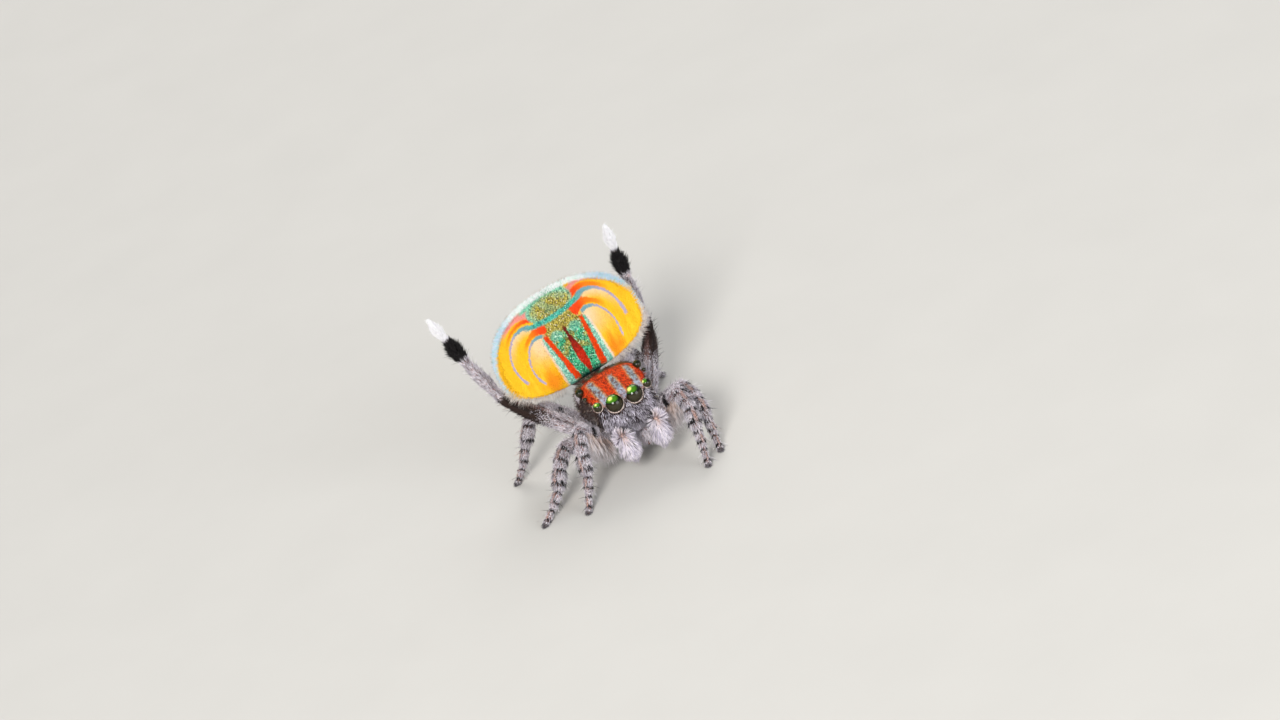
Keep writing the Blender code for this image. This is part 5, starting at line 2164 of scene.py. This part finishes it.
# Name, tuft, slot, density, length, width, spread, stray of the lengths, lift and seed.
PELTS = {
    pelt.name: pelt for pelt in (
        Pelt("carapace_scale_coat", Tuft.SCALE, "carapace_scales", 4600, 0.050, 0.022, 0.22, 0.25, 0.10, 21),
        Pelt("face_hair", Tuft.BRISTLE, "grey_hair", 2600, 0.15, 0.014, 0.34, 0.25, 0.30, 22),
        Pelt("brow_hair", Tuft.HAIR, "grey_hair", 700, 0.12, 0.008, 0.35, 0.25, 0.45, 23),
        Pelt("thorax_hair", Tuft.HAIR, "grey_hair", 1000, 0.13, 0.010, 0.25, 0.25, 0.22, 24),
        Pelt("fan_glitter", Tuft.SCALE, "fan_green", 5900, 0.050, 0.028, 0.30, 0.25, 0.10, 31),
        Pelt("fan_flap_scales", Tuft.SCALE, "fan_gold", 6500, 0.048, 0.021, 0.08, 0.25, 0.05, 32),
        Pelt("fan_back_hair", Tuft.HAIR, "fan_gold", 900, 0.11, 0.012, 0.20, 0.25, 0.16, 33),
        Pelt("fan_fringe_hair", Tuft.HAIR, "fan_gold", 5200, 0.18, 0.009, 0.25, 0.35, 0.10, 34),
        Pelt("fan_rim_tufts", Tuft.HAIR, "fan_gold", 4200, 0.095, 0.016, 0.35, 0.30, 0.30, 36),
        Pelt("abdomen_hair", Tuft.HAIR, "grey_hair", 1750, 0.13, 0.014, 0.25, 0.25, 0.20, 35),
        Pelt("legs_hair", Tuft.HAIR, "grey_hair", 2200, 0.105, 0.014, 0.24, 0.35, 0.26, 41),
        Pelt("legs_long_hair", Tuft.HAIR, "grey_hair", 110, 0.22, 0.009, 0.30, 0.25, 0.55, 42),
        Pelt("femur_fringe_hair", Tuft.HAIR, "grey_hair", 2000, 0.38, 0.014, 0.26, 0.40, 0.16, 43),
        Pelt("palp_brush_hair", Tuft.BRISTLE, "palp_hair", 3800, 0.24, 0.017, 0.16, 0.25, 0.26, 51),
        Pelt("jaw_hair", Tuft.BRISTLE, "grey_hair", 2200, 0.14, 0.013, 0.25, 0.25, 0.25, 52),
        Pelt("sternum_hair", Tuft.HAIR, "cuticle", 900, 0.10, 0.010, 0.25, 0.25, 0.20, 61),
    )
}


@dataclass
class Spider:
    """The whole animal."""

    shop: Workshop
    coat: Coat
    carapace: Carapace = field(default_factory=Carapace)
    legs: Legs = field(default_factory=Legs)
    mouth: Mouth = field(default_factory=Mouth)
    fan: Fan = field(default_factory=Fan)
    # Bare ring round an eye, in radii, and where the stalk leaves the thorax.
    bare_ring: tuple[float, float] = (1.10, 1.22)
    stalk_start: Point = (0.0, 1.93, 1.05)

    def build(self) -> None:
        """Build every part, its skin before its coat."""
        self.build_head()
        self.build_eyes()
        self.build_fan()
        self.build_abdomen()
        self.build_legs()
        self.build_mouth()
        self.build_underside()

    def build_head(self) -> None:
        """Build the shield with its scales and the hair of the face."""
        skin = self.carapace.skin()
        material = CarapaceFinish().build("carapace_scales")
        self.shop.piece("carapace_shell", skin, material, "carapace_scales", "carapace")
        x, y, z = skin.array("pattern").T
        clear = self.away_from_eyes(skin.array("pattern"))
        top = ease(z, 1.58, 1.70) * clear
        scaly = top * (1 - ease(y, 1.15, 1.4))
        flow = steady((0.0, -1.0, -0.2), len(x))
        self.coat.grow(PELTS["carapace_scale_coat"], skin, material, scaly, flow)
        face = (1 - ease(y, 0.10, 0.30)) * (1 - ease(z, 1.56, 1.66)) * clear
        face = face * (1 - 0.70 * ease(np.abs(x), 0.46, 0.60))
        down = steady((0.0, -0.35, -1.0), len(x)) + np.outer(x, (0.55, 0.0, 0.0))
        longer = 0.6 + 0.7 * (1 - ease(z, 1.0, 1.45))
        self.coat.grow(PELTS["face_hair"], skin, material, face, down, longer)
        brow = ease(z, 1.62, 1.7) * (1 - ease(y, 0.5, 0.9)) * clear * 0.30
        self.coat.grow(PELTS["brow_hair"], skin, material, brow, steady((0.0, -0.6, 0.4), len(x)))
        sides = (1 - ease(z, 1.02, 1.25)) * ease(y, 0.0, 0.2) + ease(y, 1.2, 1.7) * 0.8
        sides = np.maximum(sides, 0.34 * (1 - top * (1 - ease(y, 0.98, 1.1))) * (1 - face))
        sides = np.clip(sides, 0, 1) * clear
        self.coat.grow(PELTS["thorax_hair"], skin, material, sides, steady((0.0, 1.0, -0.6), len(x)))

    def away_from_eyes(self, points: Array) -> Array:
        """Return 0 in the sockets and 1 away from them.

        Args:
            points: Points of the maker's frame.

        Returns:
            One value for each point.
        """
        clear = np.ones(len(points))
        for eye, side in ((eye, side) for eye in EYES for side in SIDES):
            off = np.linalg.norm(points - mirrored(eye.centre, side), axis=1)
            clear *= ease(off, *(eye.radius * share for share in self.bare_ring))
        return clear

    def build_eyes(self) -> None:
        """Build the eight lenses and their rims."""
        # Painted reflections differ by eye: the left side eye has its highlight placed elsewhere, the small
        # and rear eyes only a faint one.
        bright = EyeFinish().build("eye_lens")
        dim = EyeFinish(glow=0.03).build("eye_lens_dim")
        turned = EyeFinish(reflection_at=(-0.62, -0.26, 0.74)).build("eye_lens_turned")
        for eye, side in ((eye, side) for eye in EYES for side in SIDES):
            name = f"{eye.name}_{side}"
            lens = turned if name == "eye_side_left" else bright if eye in RIMMED_EYES else dim
            self.shop.piece(f"{name}_lens", eye.lens(side), lens, "eye_lens", name)
        self.build_rims(RimFinish().build("eye_rim"))

    def build_rims(self, material: bpy.types.Material) -> None:
        """Build the rims of the four front eyes as one piece.

        Args:
            material: Material of the rims.
        """
        grids = [eye.ring(side) for eye in RIMMED_EYES for side in SIDES]
        faces = []
        for i, grid in enumerate(grids):
            rows, sides = grid.shape[:2]
            index = i * rows * sides + np.arange(rows * sides).reshape(rows, sides)
            after = np.roll(index, -1, 0)
            quads = np.stack([index, np.roll(index, -1, 1), np.roll(after, -1, 1), after], -1)
            faces += quads.reshape(-1, 4).tolist()
        mesh = bpy.data.meshes.new("eye_rims")
        places = self.shop.to_row(np.concatenate(grids).reshape(-1, 3))
        mesh.from_pydata(places.tolist(), [], faces, shade_flat=False)
        mesh.materials.append(material)
        self.shop.hand_over(add_object("eye_rims", mesh), "carapace_scales")

    def build_fan(self) -> None:
        """Build the fan with its scales and fringes."""
        fan = self.fan
        skin = fan.sheet()
        material = FanFinish(fan.half_width, fan.middle, fan.above, fan.below).build("fan_scales")
        self.shop.piece("fan_sheet", skin, material, "fan_gold", "fan_flap_left", "fan_flap_right")
        x, z, face = skin.array("pattern").T
        flow = skin.array("flow")
        column = 1 - ease(np.abs(x), 0.50, 0.60)
        front = face > 0
        self.coat.grow(PELTS["fan_glitter"], skin, material, column * front, flow)
        for side, own in (("left", x > 0), ("right", x < 0)):
            pelt = replace(PELTS["fan_flap_scales"], name=f"fan_flap_scales_{side}")
            self.coat.grow(pelt, skin, material, (1 - column) * front * own, flow)
        self.coat.grow(PELTS["fan_back_hair"], skin, material, face < 0, flow)
        outness = fan.outness(x, z)
        low = 1 - ease(z, 0.45, 1.0)
        out = fan.way(x, (z - fan.middle) * 1.5 - 0.35 * low)
        gap = 1 - low * (1 - ease(np.abs(x), 0.48, 0.60))
        edge = ease(outness, 0.955, 0.975) * (1 - 0.60 * low) * gap
        fringe = FringeFinish().build("fan_fringe")
        self.coat.grow(PELTS["fan_fringe_hair"], skin, fringe, edge, out, 0.38 + 0.72 * low)
        high = ease(z - 0.35 - 0.70 * ease(x, 0.0, 1.2), 0.0, 0.4)
        tufted = ease(outness, 0.905, 0.94) * front * high
        self.coat.grow(PELTS["fan_rim_tufts"], skin, material, tufted, out)

    def build_abdomen(self) -> None:
        """Build the body behind the fan."""
        body = self.fan.abdomen()
        material = BodyFinish().build("abdomen_skin")
        self.shop.piece("abdomen_body", body, material, "grey_hair", "abdomen")
        flow = body.array("flow")
        self.coat.grow(PELTS["abdomen_hair"], body, material, np.ones(len(flow)), flow)

    def build_legs(self) -> None:
        """Build the legs pair by pair."""
        material = LimbFinish().build("limb_hair")
        for pair in LEG_PAIRS:
            skin = self.legs.skin(pair.leg)
            flow = skin.array("flow")
            self.shop.piece(f"legs_{pair.name}", skin, material, pair.slot, *self.legs.nodes(pair.leg))
            s, _, _ = skin.array("pattern").T
            share, lift = ease(s, -0.9, -0.5), None
            longer = 1.0 - 0.30 * ease(s, 3.0, 3.3)
            if pair.leg == RAISED:
                brush = ease(s, 3.05, 3.55) * (1 - ease(s, 3.60, 4.02))
                tip = ease(s, 3.95, 4.05)
                longer = 1.0 + 0.34 * brush + 0.25 * tip * ease(s, 4.0, 4.35) - 0.75 * ease(s, 4.45, 5.0)
                lift = 0.18 + 0.30 * brush + 0.12 * tip
                share = share * (1.0 + 0.8 * brush + 1.2 * tip)
            names = {"slot": pair.slot, "name": f"legs_{pair.name}_hair"}
            short = replace(PELTS["legs_hair"], **names, density=pair.density)
            self.coat.grow(short, skin, material, share, flow, longer, lift)
            long_hair = replace(PELTS["legs_long_hair"], slot=pair.slot, name=f"legs_{pair.name}_long_hair")
            end = pair.long_hair_to
            self.coat.grow(long_hair, skin, material, ease(s, 0.0, 0.3) * (1 - ease(s, end, end + 0.3)), flow)
            if pair.leg == 1:
                self.grow_fringe(skin)
        self.shop.piece("claws", Claws().skin(self.legs), material, "cuticle")

    def grow_fringe(self, skin: Skin) -> None:
        """Grow the pale fringe under the first femora.

        Args:
            skin: Skin of the first legs.
        """
        s, _, _ = skin.array("pattern").T
        under = ease(-skin.array("out")[:, 2], -0.2, 0.4) * ease(s, 0.0, 0.15) * (1 - ease(s, 0.95, 1.2))
        down = skin.array("flow") * 0.25 + (0.0, -0.25, -1.0)
        cream = FringeFinish(srgb(255, 248, 252), srgb(244, 212, 196), 0.0, 0.4).build("femur_fringe")
        self.coat.grow(PELTS["femur_fringe_hair"], skin, cream, under, down)

    def build_mouth(self) -> None:
        """Build palps and jaws."""
        material = LimbFinish().build("palp_hair")
        palps = self.mouth.palps()
        nodes = [f"palp_{part}_{side}" for part in ("arm", "brush") for side in SIDES]
        self.shop.piece("palps", palps, material, "palp_hair", *nodes)
        s, _, _ = palps.array("pattern").T
        brush, lower = ease(s, 0.60, 0.95), ease(s, 0.92, 1.10)
        upward = palps.array("out") * 0.5 + (0.0, -0.5, 0.45)
        lie = palps.array("flow") * (1 - brush)[:, None] + upward * (brush * (1 - lower))[:, None]
        lie = lie + np.array((0.0, -0.15, -1.0)) * (brush * lower)[:, None]
        longer = 0.66 + 0.24 * brush - 0.45 * ease(s, 1.45, 2.0)
        lift = PELTS["palp_brush_hair"].lift + 0.12 * brush * (1 - ease(s, 1.2, 1.7))
        self.coat.grow(PELTS["palp_brush_hair"], palps, material, 0.35 + 0.65 * brush, lie, longer, lift)
        jaws = self.mouth.jaws()
        self.shop.piece("jaws", jaws, material, "grey_hair", "chelicera_left", "chelicera_right")
        _, _, z = jaws.all_points().T
        self.coat.grow(PELTS["jaw_hair"], jaws, material, ease(z, 0.40, 0.55), jaws.array("flow"))

    def build_underside(self) -> None:
        """Build sternum, stalk and spinnerets."""
        cuticle = BodyFinish().build("underside_skin")
        sternum = sternum_skin()
        self.shop.piece("sternum_plate", sternum, cuticle, "cuticle", "sternum")
        flow = sternum.array("flow")
        self.coat.grow(PELTS["sternum_hair"], sternum, cuticle, np.ones(len(flow)), flow)
        stalk = self.fan.stalk(np.array(self.stalk_start))
        self.shop.piece("stalk", stalk, cuticle, "cuticle", "pedicel")
        self.shop.piece("spinneret_cones", self.fan.spinnerets(), cuticle, "grey_hair", "spinnerets")


def eye_middle() -> Array:
    """Return the middle between the front eyes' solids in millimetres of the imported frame."""
    corners = [np.array(corner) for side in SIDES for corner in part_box(f"eye_main_{side}")]
    return np.mean(corners, axis=0) / MM


def main() -> None:
    """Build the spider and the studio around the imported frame."""
    logging.basicConfig(level=logging.INFO, format="%(name)s %(message)s")
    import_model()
    made_at = np.array((0.0, EYES[0].centre[1], EYES[0].centre[2]))
    shop = Workshop(eye_middle() - made_at)
    Spider(shop, Coat(shop)).build()
    Studio().build(shop)


if __name__ == "__main__":
    main()
